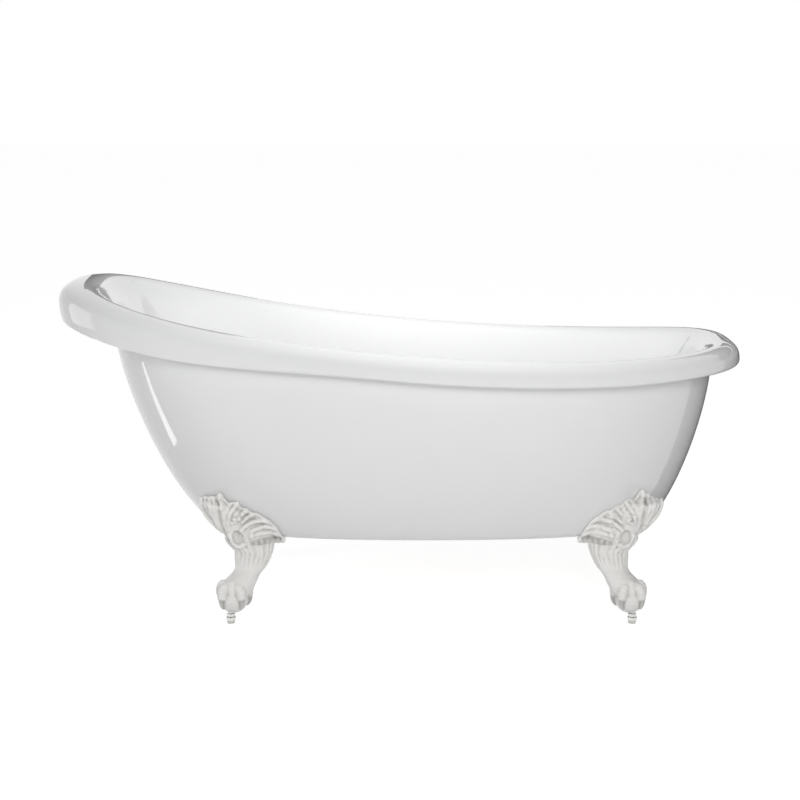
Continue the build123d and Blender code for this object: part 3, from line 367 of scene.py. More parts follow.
def smooth_path(points, steps):
    """Rows of numbers along a Catmull-Rom curve through rows of numbers."""
    points = np.asarray(points, float)
    padded = np.concatenate([[2 * points[0] - points[1]], points, [2 * points[-1] - points[-2]]])
    made = []
    for before, start, end, after in zip(padded, padded[1:], padded[2:], padded[3:]):
        for t in np.arange(steps) / steps:
            made.append(start + (end - before) * t / 2
                        + (2 * before - 5 * start + 4 * end - after) * t ** 2 / 2
                        + (3 * start - before - 3 * end + after) * t ** 3 / 2)
    return np.array([*made, points[-1]])


STRAND_END_REACH, STRAND_END_SHARE = 0.7, 0.55    # rounded end, over the strand's radius


def strand(bm, places, radii, sides=10):
    """Round tapering strand through places, with rounded ends."""
    places = [Vector(place) for place in places]
    ways = [(after - before).normalized() for before, after in
            zip([places[0], *places[:-1]], [*places[1:], places[-1]])]
    start = places[0] - ways[0] * radii[0] * STRAND_END_REACH
    end = places[-1] + ways[-1] * radii[-1] * STRAND_END_REACH
    stations = [(start, ways[0], radii[0] * STRAND_END_SHARE), *zip(places, ways, radii),
                (end, ways[-1], radii[-1] * STRAND_END_SHARE)]
    turn = ways[0].to_track_quat("Z", "Y")
    last = ways[0]
    circle = [Vector((cos(2 * pi * k / sides), sin(2 * pi * k / sides), 0)) for k in range(sides)]
    rings = []
    for place, way, radius in stations:
        turn = last.rotation_difference(way) @ turn
        last = way
        rings.append([place + turn @ (point * radius) for point in circle])
    loft(bm, rings)


def round_rings(centre, rows, sides=48):
    """Level rings round an upright axis: a row is a radius, a height and a hexagon's half width or None."""
    angles = 2 * pi * np.arange(sides) / sides
    from_flat = (angles + pi / 6) % (pi / 3) - pi / 6
    rings = []
    for radius, height, half_flats in rows:
        reach = np.broadcast_to(radius, sides)
        if half_flats is not None:
            reach = np.minimum(reach, half_flats / np.cos(from_flat))
        rings.append(np.stack([centre[0] + reach * np.cos(angles), centre[1] + reach * np.sin(angles),
                               np.full(sides, height)], -1))
    return np.array(rings)


def thread_rows(radius, low, high, sides=48):
    """Rows of a right-hand screw thread that runs out at its end."""
    turns = np.arange(sides) / sides
    rows = []
    for height in np.arange(low, high, THREAD_PITCH / THREAD_ROWS):
        flank = np.abs((height / THREAD_PITCH - turns) % 1 * 2 - 1)
        sunk = np.clip(THREAD_FLANK * flank - THREAD_FLAT, 0, 1)
        rows.append((radius - THREAD_DEPTH * sunk, height, None))
    return rows


def tree_of(piece):
    bm = bmesh.new()
    bm.from_mesh(piece.data)
    tree = BVHTree.FromBMesh(bm)
    bm.free()
    return tree


# ---------------------------------------------------------------- the two shells
def make_inner_tub():
    tub = loop_piece("bath_inner", tub_loop())
    subdivide(tub, 1)
    settle(tub)
    face_low, face_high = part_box("overflow_face")
    seal_low, seal_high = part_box("overflow_seal")
    start, end = (seal_low + seal_high) / 2, (face_low + face_high) / 2
    way = (end - start).normalized()
    hole = rod_at("overflow_hole", start - way * OVERFLOW_HOLE_RADIUS, way, OVERFLOW_HOLE_RADIUS,
                  (end - start).length + 2 * OVERFLOW_HOLE_RADIUS)
    cut(tub, hole)
    shade_smooth(tub, sharp_degrees=60)
    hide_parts("inner_tub")
    return tub


def make_outer_skirt():
    skirt = loop_piece("bath_skirt", skirt_loop())
    subdivide(skirt, 1)
    settle(skirt)
    shade_smooth(skirt)
    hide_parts("outer_skirt")
    return skirt


# ---------------------------------------------------------------- claw feet
# Foot axes: out = along the bath, out of its end; side = across, out of its side, both from the pad's
# axis; height over the floor.
IN_FRONT = -1.0                              # rays across the bath start here
NEAREST_Y = PAD_Y + 0.05                     # where a ray that misses looks for the nearest surface
AIM_ROUNDS = 3
LEAF_CLEAR = 0.0014
LEAF_BODY = 0.0085
LEAF_OVER_LEG = 0.0020
VOXEL = 0.0017
LEG_SIDES, LEG_STEPS = 32, 2
# leg: height, shift inward along and across, half widths along and across
LEG_RINGS = (
    (0.072, 0.0145, 0.011, 0.0340, 0.0335), (0.080, 0.0165, 0.0115, 0.0375, 0.0370),
    (0.090, 0.0185, 0.013, 0.0395, 0.0380), (0.100, 0.0220, 0.016, 0.0410, 0.0375),
    (0.110, 0.0290, 0.022, 0.0385, 0.0365), (0.120, 0.0375, 0.031, 0.0355, 0.0355),
    (0.130, 0.0455, 0.041, 0.0375, 0.0350), (0.143, 0.0492, 0.048, 0.0409, 0.0345),
    (0.158, 0.0524, 0.052, 0.0436, 0.0345), (0.176, 0.0555, 0.055, 0.0456, 0.0380),
    (0.184, 0.0495, 0.057, 0.0515, 0.0400), (0.192, 0.0468, 0.058, 0.0563, 0.0420),
    (0.204, 0.0455, 0.061, 0.0615, 0.0455), (0.214, 0.0448, 0.063, 0.0673, 0.0480),
    (0.223, 0.0410, 0.065, 0.0740, 0.0500), (0.233, 0.0340, 0.067, 0.0780, 0.0520),
    (0.243, 0.0248, 0.070, 0.0793, 0.0550), (0.256, 0.0165, 0.074, 0.0795, 0.0600),
    (0.271, 0.0000, 0.079, 0.0700, 0.0660), (0.285, -0.0160, 0.083, 0.0595, 0.0710),
    (0.296, -0.0280, 0.086, 0.0480, 0.0750),
)
# above the underside the leg ends at this place across
HEEL_LIMIT = -0.060
HEEL_REACH = 0.15
# leaf's edges: out, height
LEAF_TOP = (
    (-0.134, 0.202), (-0.127, 0.209), (-0.121, 0.222), (-0.115, 0.234), (-0.107, 0.245), (-0.099, 0.255),
    (-0.090, 0.261), (-0.082, 0.266), (-0.074, 0.273), (-0.065, 0.277), (-0.055, 0.277), (-0.048, 0.281),
    (-0.045, 0.288), (-0.038, 0.289), (-0.032, 0.288), (-0.026, 0.291), (-0.023, 0.298), (-0.017, 0.303),
    (-0.011, 0.304), (-0.004, 0.303), (0.001, 0.299), (0.006, 0.303), (0.010, 0.310), (0.014, 0.318),
    (0.018, 0.325), (0.023, 0.328), (0.028, 0.323), (0.033, 0.316), (0.038, 0.313), (0.046, 0.314),
    (0.054, 0.311), (0.061, 0.311), (0.068, 0.308), (0.075, 0.304), (0.081, 0.298), (0.084, 0.292),
)
LEAF_BOTTOM = ((-0.134, 0.200), (-0.120, 0.206), (-0.100, 0.209), (-0.080, 0.208), (-0.050, 0.203),
               (0.006, 0.202), (0.022, 0.222), (0.044, 0.244), (0.062, 0.264), (0.080, 0.286),
               (0.084, 0.289))
LEAF_STEP = 0.003
LEAF_LEVELS = 16
STROKE_STEPS = 4
KNOB_SEGMENTS = 16
# ridges of the carving: out, height, lift of the stroke's axis over the body, radius
OUTER_FOLDS = (
    ((0.074, 0.301, .001, .0052), (0.072, 0.286, .002, .0056), (0.066, 0.271, .002, .0060),
     (0.057, 0.257, .002, .0058), (0.045, 0.245, .001, .0052), (0.033, 0.232, .001, .0045),
     (0.022, 0.219, .000, .0035)),
    ((0.062, 0.307, .001, .0040), (0.060, 0.294, .001, .0044), (0.055, 0.278, .001, .0044),
     (0.047, 0.263, .000, .0040)),
    ((0.052, 0.309, .002, .0050), (0.049, 0.294, .003, .0058), (0.045, 0.276, .003, .0060),
     (0.039, 0.261, .003, .0055), (0.033, 0.245, .002, .0050), (0.026, 0.230, .001, .0040)),
    ((0.041, 0.308, .001, .0044), (0.039, 0.293, .002, .0046), (0.036, 0.278, .002, .0046),
     (0.031, 0.262, .001, .0042), (0.028, 0.246, .000, .0036)),
    ((0.024, 0.324, .002, .0058), (0.022, 0.309, .003, .0066), (0.019, 0.293, .003, .0060),
     (0.016, 0.277, .002, .0052), (0.015, 0.262, .002, .0048)),
)
MAIN_RIBS = (
    ((-0.003, 0.300, .001, .0044), (0.003, 0.290, .003, .0050), (0.010, 0.275, .004, .0054),
     (0.012, 0.259, .006, .0062), (0.011, 0.243, .006, .0066), (0.007, 0.230, .006, .0064),
     (0.001, 0.217, .006, .0060), (-0.005, 0.204, .005, .0056), (-0.012, 0.193, .004, .0050),
     (-0.021, 0.188, .003, .0044), (-0.031, 0.192, .003, .0040), (-0.039, 0.198, .003, .0038),
     (-0.044, 0.207, .003, .0040), (-0.045, 0.217, .003, .0044)),
    ((-0.018, 0.297, .001, .0050), (-0.014, 0.292, .003, .0052), (-0.008, 0.284, .004, .0052),
     (-0.002, 0.276, .004, .0050), (0.001, 0.265, .003, .0046), (0.003, 0.254, .002, .0040),
     (0.005, 0.243, .001, .0032)),
)
FINGERS = (
    ((-0.015, 0.257, .004, .0042), (-0.024, 0.265, .005, .0046), (-0.030, 0.272, .006, .0048),
     (-0.036, 0.279, .006, .0050), (-0.043, 0.286, .004, .0050)),
    ((-0.029, 0.251, .003, .0038), (-0.035, 0.257, .004, .0044), (-0.041, 0.262, .005, .0046),
     (-0.048, 0.267, .004, .0046), (-0.056, 0.271, .002, .0040)),
    ((-0.026, 0.232, .004, .0044), (-0.036, 0.241, .005, .0052), (-0.044, 0.247, .006, .0056),
     (-0.054, 0.252, .006, .0056), (-0.066, 0.255, .005, .0054), (-0.079, 0.256, .003, .0050),
     (-0.091, 0.254, .002, .0044), (-0.102, 0.248, .001, .0036)),
    ((-0.052, 0.229, .002, .0044), (-0.060, 0.233, .003, .0052), (-0.070, 0.236, .003, .0056),
     (-0.084, 0.238, .002, .0054), (-0.098, 0.236, .001, .0048), (-0.111, 0.230, .000, .0038)),
    ((-0.058, 0.218, .000, .0040), (-0.072, 0.222, .001, .0048), (-0.090, 0.223, .001, .0048),
     (-0.106, 0.219, .000, .0042), (-0.118, 0.213, .000, .0034)),
)
# knobs: out, height, lift, radius
KNOBS = (
    (-0.012, 0.263, .007, .0052), (-0.006, 0.251, .006, .0046), (-0.020, 0.238, .007, .0056),
    (-0.014, 0.255, .005, .0044), (-0.028, 0.232, .006, .0048), (-0.025, 0.266, .009, .0054),
    (-0.032, 0.275, .009, .0056), (-0.042, 0.286, .007, .0062), (-0.040, 0.262, .008, .0052),
    (-0.049, 0.268, .007, .0052), (-0.047, 0.225, .007, .0088), (-0.045, 0.213, .006, .0074),
    (-0.053, 0.219, .006, .0072), (-0.041, 0.205, .004, .0056), (-0.017, 0.297, .003, .0062),
    (0.022, 0.317, .005, .0076), (-0.077, 0.203, .005, .0056),
)
# lobes under the leaf's edge: out, side, height, radius
LOBES = (
    (-0.086, -0.043, 0.197, .0080), (-0.101, -0.048, 0.197, .0085), (-0.115, -0.051, 0.197, .0080),
    (-0.127, -0.047, 0.198, .0072),
)
# grooves: as the ridges, cut away
GROOVES = (
    ((0.031, 0.302, .003, .0040), (0.029, 0.292, .002, .0044), (0.026, 0.276, .001, .0046),
     (0.024, 0.255, .001, .0048), (0.020, 0.234, .001, .0048), (0.013, 0.216, .001, .0046),
     (0.005, 0.200, .001, .0042), (-0.003, 0.186, .002, .0036)),
    ((-0.019, 0.283, .002, .0026), (-0.010, 0.274, .001, .0034), (-0.006, 0.264, .001, .0036),
     (-0.003, 0.252, .002, .0030)),
    ((-0.029, 0.257, .002, .0024), (-0.038, 0.267, .002, .0028), (-0.045, 0.275, .003, .0024)),
    ((-0.030, 0.243, .002, .0026), (-0.037, 0.250, .001, .0032), (-0.046, 0.256, .001, .0034),
     (-0.058, 0.261, .001, .0032), (-0.074, 0.263, .002, .0026)),
    ((-0.050, 0.238, .002, .0026), (-0.062, 0.243, .001, .0032), (-0.078, 0.246, .001, .0032),
     (-0.094, 0.244, .002, .0028), (-0.104, 0.240, .003, .0022)),
    ((-0.034, 0.222, .002, .0030), (-0.035, 0.210, .001, .0034), (-0.030, 0.201, .001, .0034)),
)
# hollow of the leaf's eye: out, height, lift, half sizes along, across and up
EYE = (-0.0185, 0.2135, 0.002, 0.0140, 0.0090, 0.0200)
EYE_SEGMENTS = 24
LEDGE_LOW = UNDERSIDE - 0.008
LEDGE_ALONG = (-0.126, -0.034)
LEDGE_ACROSS = (-0.149, -0.062)
BALL_RADIUS = 0.036
BALL_SEGMENTS = 36
BALL_CENTRE = (-0.007, -0.006, 0.062)
TOE_TURNS = (43.0, -36.0, -104.0, 115.0, 186.0)   # from straight out of the bath's side towards its end
# toe: reach from the ball's axis, height, radius
TOE = (
    (0.012, 0.0960, .0095), (0.021, 0.0965, .0115), (0.029, 0.0935, .0128), (0.0345, 0.0870, .0132),
    (0.0370, 0.0800, .0129), (0.0378, 0.0730, .0118), (0.0378, 0.0680, .0102),
)
CLAW = (
    (0.0380, 0.072, .0072), (0.0405, 0.064, .0068), (0.0400, 0.055, .0056), (0.0370, 0.047, .0040),
    (0.0330, 0.041, .0018),
)
TOE_SIDES, TOE_STEPS = 16, 5
CLAW_SIDES = 10
DIGIT_STEPS = 3
WRINKLE_DEPTH, WRINKLE_PITCH = 0.0021, 0.0052
WRINKLE_RANGE = (0.0700, 0.0985)
CLAW_GROWTH = 0.0035                         # how far round a claw the darkening reaches
# painted shade under the leaf's edge: ends along, upper edge as out and height, how softly it starts
UNDER_LEAF_ALONG = (-0.132, -0.046)
UNDER_LEAF_TOP = ((-0.132, 0.203), (-0.118, 0.210), (-0.100, 0.214), (-0.080, 0.213), (-0.050, 0.206))
UNDER_LEAF_FADE, UNDER_LEAF_SOFT = 0.008, 0.0025
# how strongly the painted shade under the leaf's edge darkens it
UNDER_LEAF_SHARE = 0.75
# palm: as the toes, smooth between their tops
PALM = (
    (0.008, 0.102, .0125), (0.014, 0.098, .0135), (0.020, 0.090, .0125), (0.0245, 0.081, .0100),
    (0.0265, 0.074, .0065),
)
PALM_TURN = 4.0
PALM_SIDES = 20
FUR_STRANDS = 22
FUR_STATIONS = 9
FUR_SIDES = 8
FUR_TOP, FUR_LOW = 0.192, 0.126
FUR_OVERLAP = 0.010                          # locks start this far above the fur's top
FUR_LOW_SPREAD = 0.006
FUR_RADIUS, FUR_RADIUS_SPREAD = 0.0047, 0.0007
FUR_TAPER = 0.35
FUR_SWAY, FUR_SWAY_TURN = 0.05, 1.5
FUR_INSET, FUR_INSET_GROWTH = 0.0004, 0.004
FUR_RHYTHM = (2.4, 3.7, 1.9)                 # how sway, length and radius change from lock to lock
BORE_START = 0.02                            # bores start this far below the bushes
BUSH_BORE_RADIUS = 0.0081
STUD_BORE_RADIUS = 0.0052
STUD_BORE_OVER = 0.021                       # the same start, and 1 mm past the stud's top
HOLLOW_ROUNDS, HOLLOW_BLUR_ROUNDS = 14, 2
HOLLOW_SCALE = 720.0                         # per metre, so a hollow 1.4 mm deep counts in full


def foot_place(end, out, side, height):
    return Vector((PAD_X[end] + END_SIGN[end] * out, PAD_Y - side, height))


def cast_in(tree, x, z):
    """Where a ray across the bath from its front meets a surface, and the surface's normal there."""
    hit, normal, _, _ = tree.ray_cast(Vector((x, IN_FRONT, z)), Vector((0, 1, 0)))
    if hit is None:
        hit, normal, _, _ = tree.find_nearest(Vector((x, NEAREST_Y, z)))
    return hit, normal


def on_surface(tree, x, z, lift):
    """Point over a surface at a station and a height, lifted along the surface's normal."""
    aim_x, aim_z = x, z
    for _ in range(AIM_ROUNDS):
        hit, normal = cast_in(tree, aim_x, aim_z)
        place = hit + normal * lift
        aim_x += x - place.x
        aim_z += z - place.z
    return place


def on_leg(tree, x, z, lift):
    """Point over the leg, or far behind where a ray past the leg's edge misses it."""
    hit = tree.ray_cast(Vector((x, IN_FRONT, z)), Vector((0, 1, 0)))[0]
    return Vector((x, 0, z)) if hit is None else hit + Vector((0, -lift, 0))


def nearer(*places):
    return min(places, key=lambda place: place.y)


def leaf_plate(bm, end, skirt_tree, leg_tree):
    """Scalloped plate that lies along the skirt, a clearance off it, and over the leg's flare."""
    rise = np.linspace(0, 1, LEAF_LEVELS)
    rings = []
    for out in np.arange(LEAF_TOP[0][0], LEAF_TOP[-1][0] + LEAF_STEP / 2, LEAF_STEP):
        low, high = (np.interp(out, *zip(*edge)) for edge in (LEAF_BOTTOM, LEAF_TOP))
        heights = low + (high - low) * rise
        x = PAD_X[end] + END_SIGN[end] * out
        behind = [on_surface(skirt_tree, x, z, LEAF_CLEAR) for z in heights]
        seen = [nearer(on_surface(skirt_tree, x, z, LEAF_CLEAR + LEAF_BODY),
                       on_leg(leg_tree, x, z, LEAF_OVER_LEG))
                for z in heights[::-1]]
        rings.append(behind + seen)
    loft(bm, rings)


def leg(bm, end):
    turns = np.linspace(0, 2 * pi, LEG_SIDES + 1)[:-1]
    rings = []
    for height, along, across, half_along, half_across in smooth_path(LEG_RINGS, LEG_STEPS):
        rings.append([foot_place(end, -along + half_along * cos(turn),
                                 -across + half_across * sin(turn), height)
                      for turn in turns])
    loft(bm, rings)


def upright_box(bm, low, high):
    """Box between two opposite corners, added to a bmesh."""
    made = bmesh.ops.create_cube(bm, size=1)
    size = Vector([abs(a - b) for a, b in zip(high, low)])
    place = Matrix.Translation((low + high) / 2) @ Matrix.Diagonal((*size, 1))
    bmesh.ops.transform(bm, matrix=place, verts=made["verts"])


def ledge(bm, end):
    """Flat tongue under the skirt that the foot's bolts pass through."""
    low = foot_place(end, LEDGE_ALONG[0], LEDGE_ACROSS[0], LEDGE_LOW)
    high = foot_place(end, LEDGE_ALONG[1], LEDGE_ACROSS[1], UNDERSIDE - LEAF_CLEAR / 4)
    upright_box(bm, low, high)


def ball(bm, place, radius, segments):
    bmesh.ops.create_uvsphere(bm, u_segments=segments, v_segments=segments // 2, radius=radius,
                              matrix=Matrix.Translation(place))


def toe_strand(bm, end, turn, rows, sides, extra=None):
    """Strand down the ball at a turn round its axis."""
    way = (sin(radians(turn)), cos(radians(turn)))
    path = smooth_path(rows, DIGIT_STEPS)
    radii = path[:, 2]
    if extra is not None:
        radii = radii + extra(path[:, 1])
    places = [foot_place(end, BALL_CENTRE[0] + way[0] * reach, BALL_CENTRE[1] + way[1] * reach, height)
              for reach, height, _ in path]
    strand(bm, places, radii, sides)


def wrinkled(heights):
    """Creases across a toe, from its knuckle to its claw."""
    low, high = WRINKLE_RANGE
    share = np.clip((heights - low) / (high - low), 0, 1)
    wave = 0.5 + 0.5 * np.cos(2 * pi * (heights - low) / WRINKLE_PITCH)
    return -WRINKLE_DEPTH * np.sin(pi * share) ** 0.5 * wave


def paw(bm, end):
    ball(bm, foot_place(end, *BALL_CENTRE), BALL_RADIUS, BALL_SEGMENTS)
    toe_strand(bm, end, PALM_TURN, PALM, PALM_SIDES)
    for turn in TOE_TURNS:
        toe_strand(bm, end, turn, smooth_path(TOE, TOE_STEPS), TOE_SIDES, wrinkled)
        toe_strand(bm, end, turn, CLAW, CLAW_SIDES)


def fur(bm, end):
    """Long locks down the column, all round it."""
    rings = np.array(LEG_RINGS)
    top = FUR_TOP + FUR_OVERLAP
    sway_rhythm, low_rhythm, radius_rhythm = FUR_RHYTHM
    for index in range(FUR_STRANDS):
        turn = 2 * pi * (index + 0.5) / FUR_STRANDS
        sway = FUR_SWAY * sin(index * sway_rhythm)
        low = FUR_LOW + FUR_LOW_SPREAD * sin(index * low_rhythm)
        radius = FUR_RADIUS + FUR_RADIUS_SPREAD * sin(index * radius_rhythm)
        places, radii = [], []
        for share in np.linspace(0, 1, FUR_STATIONS):
            height = top + (low - FUR_TOP - FUR_OVERLAP) * share
            along, across, half_along, half_across = (
                np.interp(height, rings[:, 0], rings[:, column]) for column in range(1, 5))
            angle = turn + sway * sin(share * pi * FUR_SWAY_TURN)
            inset = FUR_INSET + FUR_INSET_GROWTH * share ** 3
            places.append(foot_place(end, -along + (half_along - inset) * cos(angle),
                                     -across + (half_across - inset) * sin(angle), height))
            radii.append(radius * (1 - FUR_TAPER * share ** 2))
        strand(bm, places, radii, FUR_SIDES)


def carving(bm, end, seat):
    """Folds, ribs, fingers and knobs of the leaf, seated on the foot's body."""
    for stroke in (*OUTER_FOLDS, *MAIN_RIBS, *FINGERS):
        path = smooth_path(stroke, STROKE_STEPS)
        strand(bm, [seat(*row[:3]) for row in path], path[:, 3])
    for out, height, lift, radius in KNOBS:
        ball(bm, seat(out, height, lift), radius, KNOB_SEGMENTS)
    for out, side, height, radius in LOBES:
        ball(bm, foot_place(end, out, side, height), radius, KNOB_SEGMENTS)


def hollows(bm, end, seat):
    """Grooves of the leaf and the hollow of its eye, to be cut away."""
    for stroke in GROOVES:
        path = smooth_path(stroke, STROKE_STEPS)
        strand(bm, [seat(*row[:3]) for row in path], path[:, 3])
    size = Matrix.Diagonal((*EYE[3:], 1))
    bmesh.ops.create_uvsphere(bm, u_segments=EYE_SEGMENTS, v_segments=EYE_SEGMENTS // 2, radius=1,
                              matrix=Matrix.Translation(seat(*EYE[:3])) @ size)


def skin(piece, rounds):
    """Melt overlapping closed forms into one even skin."""
    remesh = piece.modifiers.new("skin", "REMESH")
    remesh.mode, remesh.voxel_size = "VOXEL", VOXEL
    if rounds:
        smooth = piece.modifiers.new("soften", "SMOOTH")
        smooth.factor, smooth.iterations = 0.5, rounds
    settle(piece)


def hollow_field(mesh):
    """How deep each vertex lies in a hollow, from its place against its smoothed neighbourhood."""
    count = len(mesh.vertices)
    places = np.empty(count * 3, np.float64)
    mesh.vertices.foreach_get("co", places)
    places = places.reshape(-1, 3)
    pairs = np.empty(len(mesh.edges) * 2, np.int32)
    mesh.edges.foreach_get("vertices", pairs)
    first, second = pairs.reshape(-1, 2).T
    degree = np.maximum(np.bincount(first, minlength=count) + np.bincount(second, minlength=count), 1)
    facing = np.array([vertex.normal for vertex in mesh.vertices])

    def spread(values):
        total = np.stack([np.bincount(first, values[:, i][second], count)
                          + np.bincount(second, values[:, i][first], count)
                          for i in range(values.shape[1])], 1)
        return total / degree[:, None]
    smooth = places
    for _ in range(HOLLOW_ROUNDS):
        smooth = spread(smooth)
    depth = ((smooth - places) * facing).sum(1)[:, None]
    for _ in range(HOLLOW_BLUR_ROUNDS):
        depth = (depth + spread(depth)) / 2
    return depth[:, 0]


def keep_largest(piece):
    """Drop stray islands that a cut has left loose."""
    bm = bmesh.new()
    bm.from_mesh(piece.data)
    left, islands = set(bm.verts), []
    while left:
        stack, island = [left.pop()], []
        while stack:
            vert = stack.pop()
            island.append(vert)
            for edge in vert.link_edges:
                other = edge.other_vert(vert)
                if other in left:
                    left.remove(other)
                    stack.append(other)
        islands.append(island)
    largest = max(islands, key=len)
    stray = [vert for island in islands if island is not largest for vert in island]
    bmesh.ops.delete(bm, geom=stray, context="VERTS")
    bm.to_mesh(piece.data)
    bm.free()


def dark_claw_and_shade_field(mesh, end):
    """Where the foot is painted darker: on the claws, and as painted shade under the leaf's lower edge."""
    places = np.empty(len(mesh.vertices) * 3, np.float64)
    mesh.vertices.foreach_get("co", places)
    places = places.reshape(-1, 3)
    horn = np.zeros(len(places))
    for turn in TOE_TURNS:
        way = (sin(radians(turn)), cos(radians(turn)))
        for reach, height, radius in smooth_path(CLAW, DIGIT_STEPS):
            middle = foot_place(end, BALL_CENTRE[0] + way[0] * reach, BALL_CENTRE[1] + way[1] * reach,
                                height)
            distance = np.linalg.norm(places - np.array(middle), axis=1)
            horn = np.maximum(horn, np.clip((radius + CLAW_GROWTH - distance) / CLAW_GROWTH, 0, 1))
    out = (places[:, 0] - PAD_X[end]) * END_SIGN[end]
    edge_low, edge_high = UNDER_LEAF_ALONG
    from_low = np.clip((out - edge_low) / UNDER_LEAF_FADE, 0, 1)
    along = from_low * np.clip((edge_high - out) / UNDER_LEAF_FADE, 0, 1)
    top = np.interp(out, *zip(*UNDER_LEAF_TOP))
    from_top = np.clip((top - places[:, 2]) / UNDER_LEAF_SOFT, 0, 1)
    below = from_top * np.clip((places[:, 2] - LEDGE_LOW) / UNDER_LEAF_SOFT, 0, 1)
    return np.maximum(horn, UNDER_LEAF_SHARE * along * below)


def heel_block(end):
    """Block over the underside, inward of the leaf, where the leg would stand up through the skirt."""
    low = foot_place(end, -HEEL_REACH, HEEL_LIMIT, UNDERSIDE)
    high = foot_place(end, HEEL_REACH, HEEL_LIMIT - HEEL_REACH, UNDERSIDE + HEEL_REACH)
    bm = bmesh.new()
    upright_box(bm, low, high)
    return new_piece("heel_block", bm)


def foot_body(end, skirt_tree):
    """Leg with the leaf plate over it, before any carving."""
    bm = bmesh.new()
    leg(bm, end)
    column = new_piece("foot_leg", bm)
    bm = bmesh.new()
    bm.from_mesh(column.data)
    leaf_plate(bm, end, skirt_tree, tree_of(column))
    bpy.data.objects.remove(column)
    return new_piece("foot_body", bm)


def make_foot(end, skirt_tree):
    """Front foot at one end of the bath."""
    body = foot_body(end, skirt_tree)
    body_tree = tree_of(body)

    def seat(out, height, lift):
        return on_surface(body_tree, PAD_X[end] + END_SIGN[end] * out, height, lift)
    bm = bmesh.new()
    bm.from_mesh(body.data)
    bpy.data.objects.remove(body)
    carving(bm, end, seat)
    fur(bm, end)
    foot = new_piece(f"foot_{end}_front", bm)
    skin(foot, 0)
    bm = bmesh.new()
    hollows(bm, end, seat)
    grooves = new_piece("grooves", bm)
    skin(grooves, 0)
    cut(foot, grooves, "MANIFOLD")
    bm = bmesh.new()
    bm.from_mesh(foot.data)
    ledge(bm, end)
    paw(bm, end)
    bm.to_mesh(foot.data)
    bm.free()
    skin(foot, 2)
    cut(foot, heel_block(end), "MANIFOLD")
    bush_low, bush_high = (corner.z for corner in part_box("threaded_bushes"))
    stud_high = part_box(f"levelling_screw_{end}_front")[1].z
    start, up = (PAD_X[end], PAD_Y, bush_low - BORE_START), (0, 0, 1)
    bush_bore = rod_at("bush_bore", start, up, BUSH_BORE_RADIUS, bush_high - bush_low + BORE_START)
    cut(foot, bush_bore, "MANIFOLD")
    stud_bore = rod_at("stud_bore", start, up, STUD_BORE_RADIUS, stud_high - bush_low + STUD_BORE_OVER)
    cut(foot, stud_bore, "MANIFOLD")
    keep_largest(foot)
    # hollow drives the painted shade and painted highlight of the enamel; the second field darkens the claws
    # and paints shade under the leaf's lower edge
    fields = {"hollow": hollow_field(foot.data) * HOLLOW_SCALE,
              "dark_claws_and_painted_shade": dark_claw_and_shade_field(foot.data, end)}
    for name, values in fields.items():
        field = foot.data.attributes.new(name, "FLOAT", "POINT")
        field.data.foreach_set("value", values.astype(np.float32))
    shade_smooth(foot, sharp_degrees=70)
    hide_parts(f"claw_foot_{end}_front")
    return foot


def mirrored_foot(foot, end):
    """The same casting on the far side of the bath."""
    mesh = foot.data.copy()
    mesh.transform(Matrix.Diagonal((1, -1, 1, 1)))
    mesh.flip_normals()
    twin = bpy.data.objects.new(f"foot_{end}_back", mesh)
    bpy.context.scene.collection.objects.link(twin)
    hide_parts(f"claw_foot_{end}_back")
    return twin


# ---------------------------------------------------------------- levelling gear and plug
THREAD_PITCH = 0.0015
THREAD_DEPTH = 0.0009
THREAD_ROWS = 6                              # rings in one turn of the thread
THREAD_FLANK, THREAD_FLAT = 1.25, 0.125      # steepness of its flanks, share of its flat crest
STUD_RADIUS = 0.0050
STUD_CHAMFER = 0.0010
STUD_TIP_SHARE = 0.68
SPIGOT_RADIUS = 0.0040
SPIGOT_TIP_SHARE = 0.8
SPIGOT_CHAMFER = 0.0006
COLLAR_CLEAR = 0.0002
COLLAR_HALF_FLATS = 0.0110
COLLAR_HEIGHT = 0.0090
LOCK_NUT_HALF_FLATS = 0.0095
NUT_BORE = 0.0052
NUT_BORE_CHAMFER = 0.0006
HEX_CORNER = 1.12                            # hexagon's turned circle, over its half width
HEX_FACE_SHARE, HEX_POINT_SHARE = 0.90, 1.035    # circle on its faces and round its points, over that
HEX_CHAMFER = 0.0011
GLIDE_EDGE = 0.0015
GLIDE_EDGE_STATIONS = 6
GLIDE_GROOVE = (0.52, 0.55, 0.62, 0.65)      # edges of the rim groove, over the glide's height
GLIDE_GROOVE_DEPTH = 0.0004
GLIDE_TOP_EDGE = ((0.0, 0.0007), (0.0005, 0.0001), (0.0012, 0.0))    # inward, below its top
GLIDE_SOCKET = 0.0042
GLIDE_SOCKET_CHAMFER = 0.0005
PLUG_EDGE = 0.0035
PLUG_EDGE_STATIONS = 9
PLUG_DOME = 0.0007
PLUG_CROWN = (0.84, 0.80, 0.785, 0.77, 0.6, 0.4, 0.2, 0.05)    # rings of the crown, over its radius
PLUG_RING = 2                                # the one of them that is pressed in
PLUG_RING_DEPTH = 0.0003
PLUG_FOOT_EDGE = ((0.0015, 0.0), (0.0004, 0.0003))    # inward, over its foot
PLUG_SIDES = 96


def middle_of(box):
    return (box[0].x + box[1].x) / 2, (box[0].y + box[1].y) / 2


def hexagon_rows(half_flats, low, high):
    """A hexagon with its corners chamfered above and below."""
    face, corner = half_flats * HEX_CORNER * HEX_FACE_SHARE, half_flats * HEX_CORNER * HEX_POINT_SHARE
    return [(face, low, half_flats), (corner, low + HEX_CHAMFER, half_flats),
            (corner, high - HEX_CHAMFER, half_flats), (face, high, half_flats)]


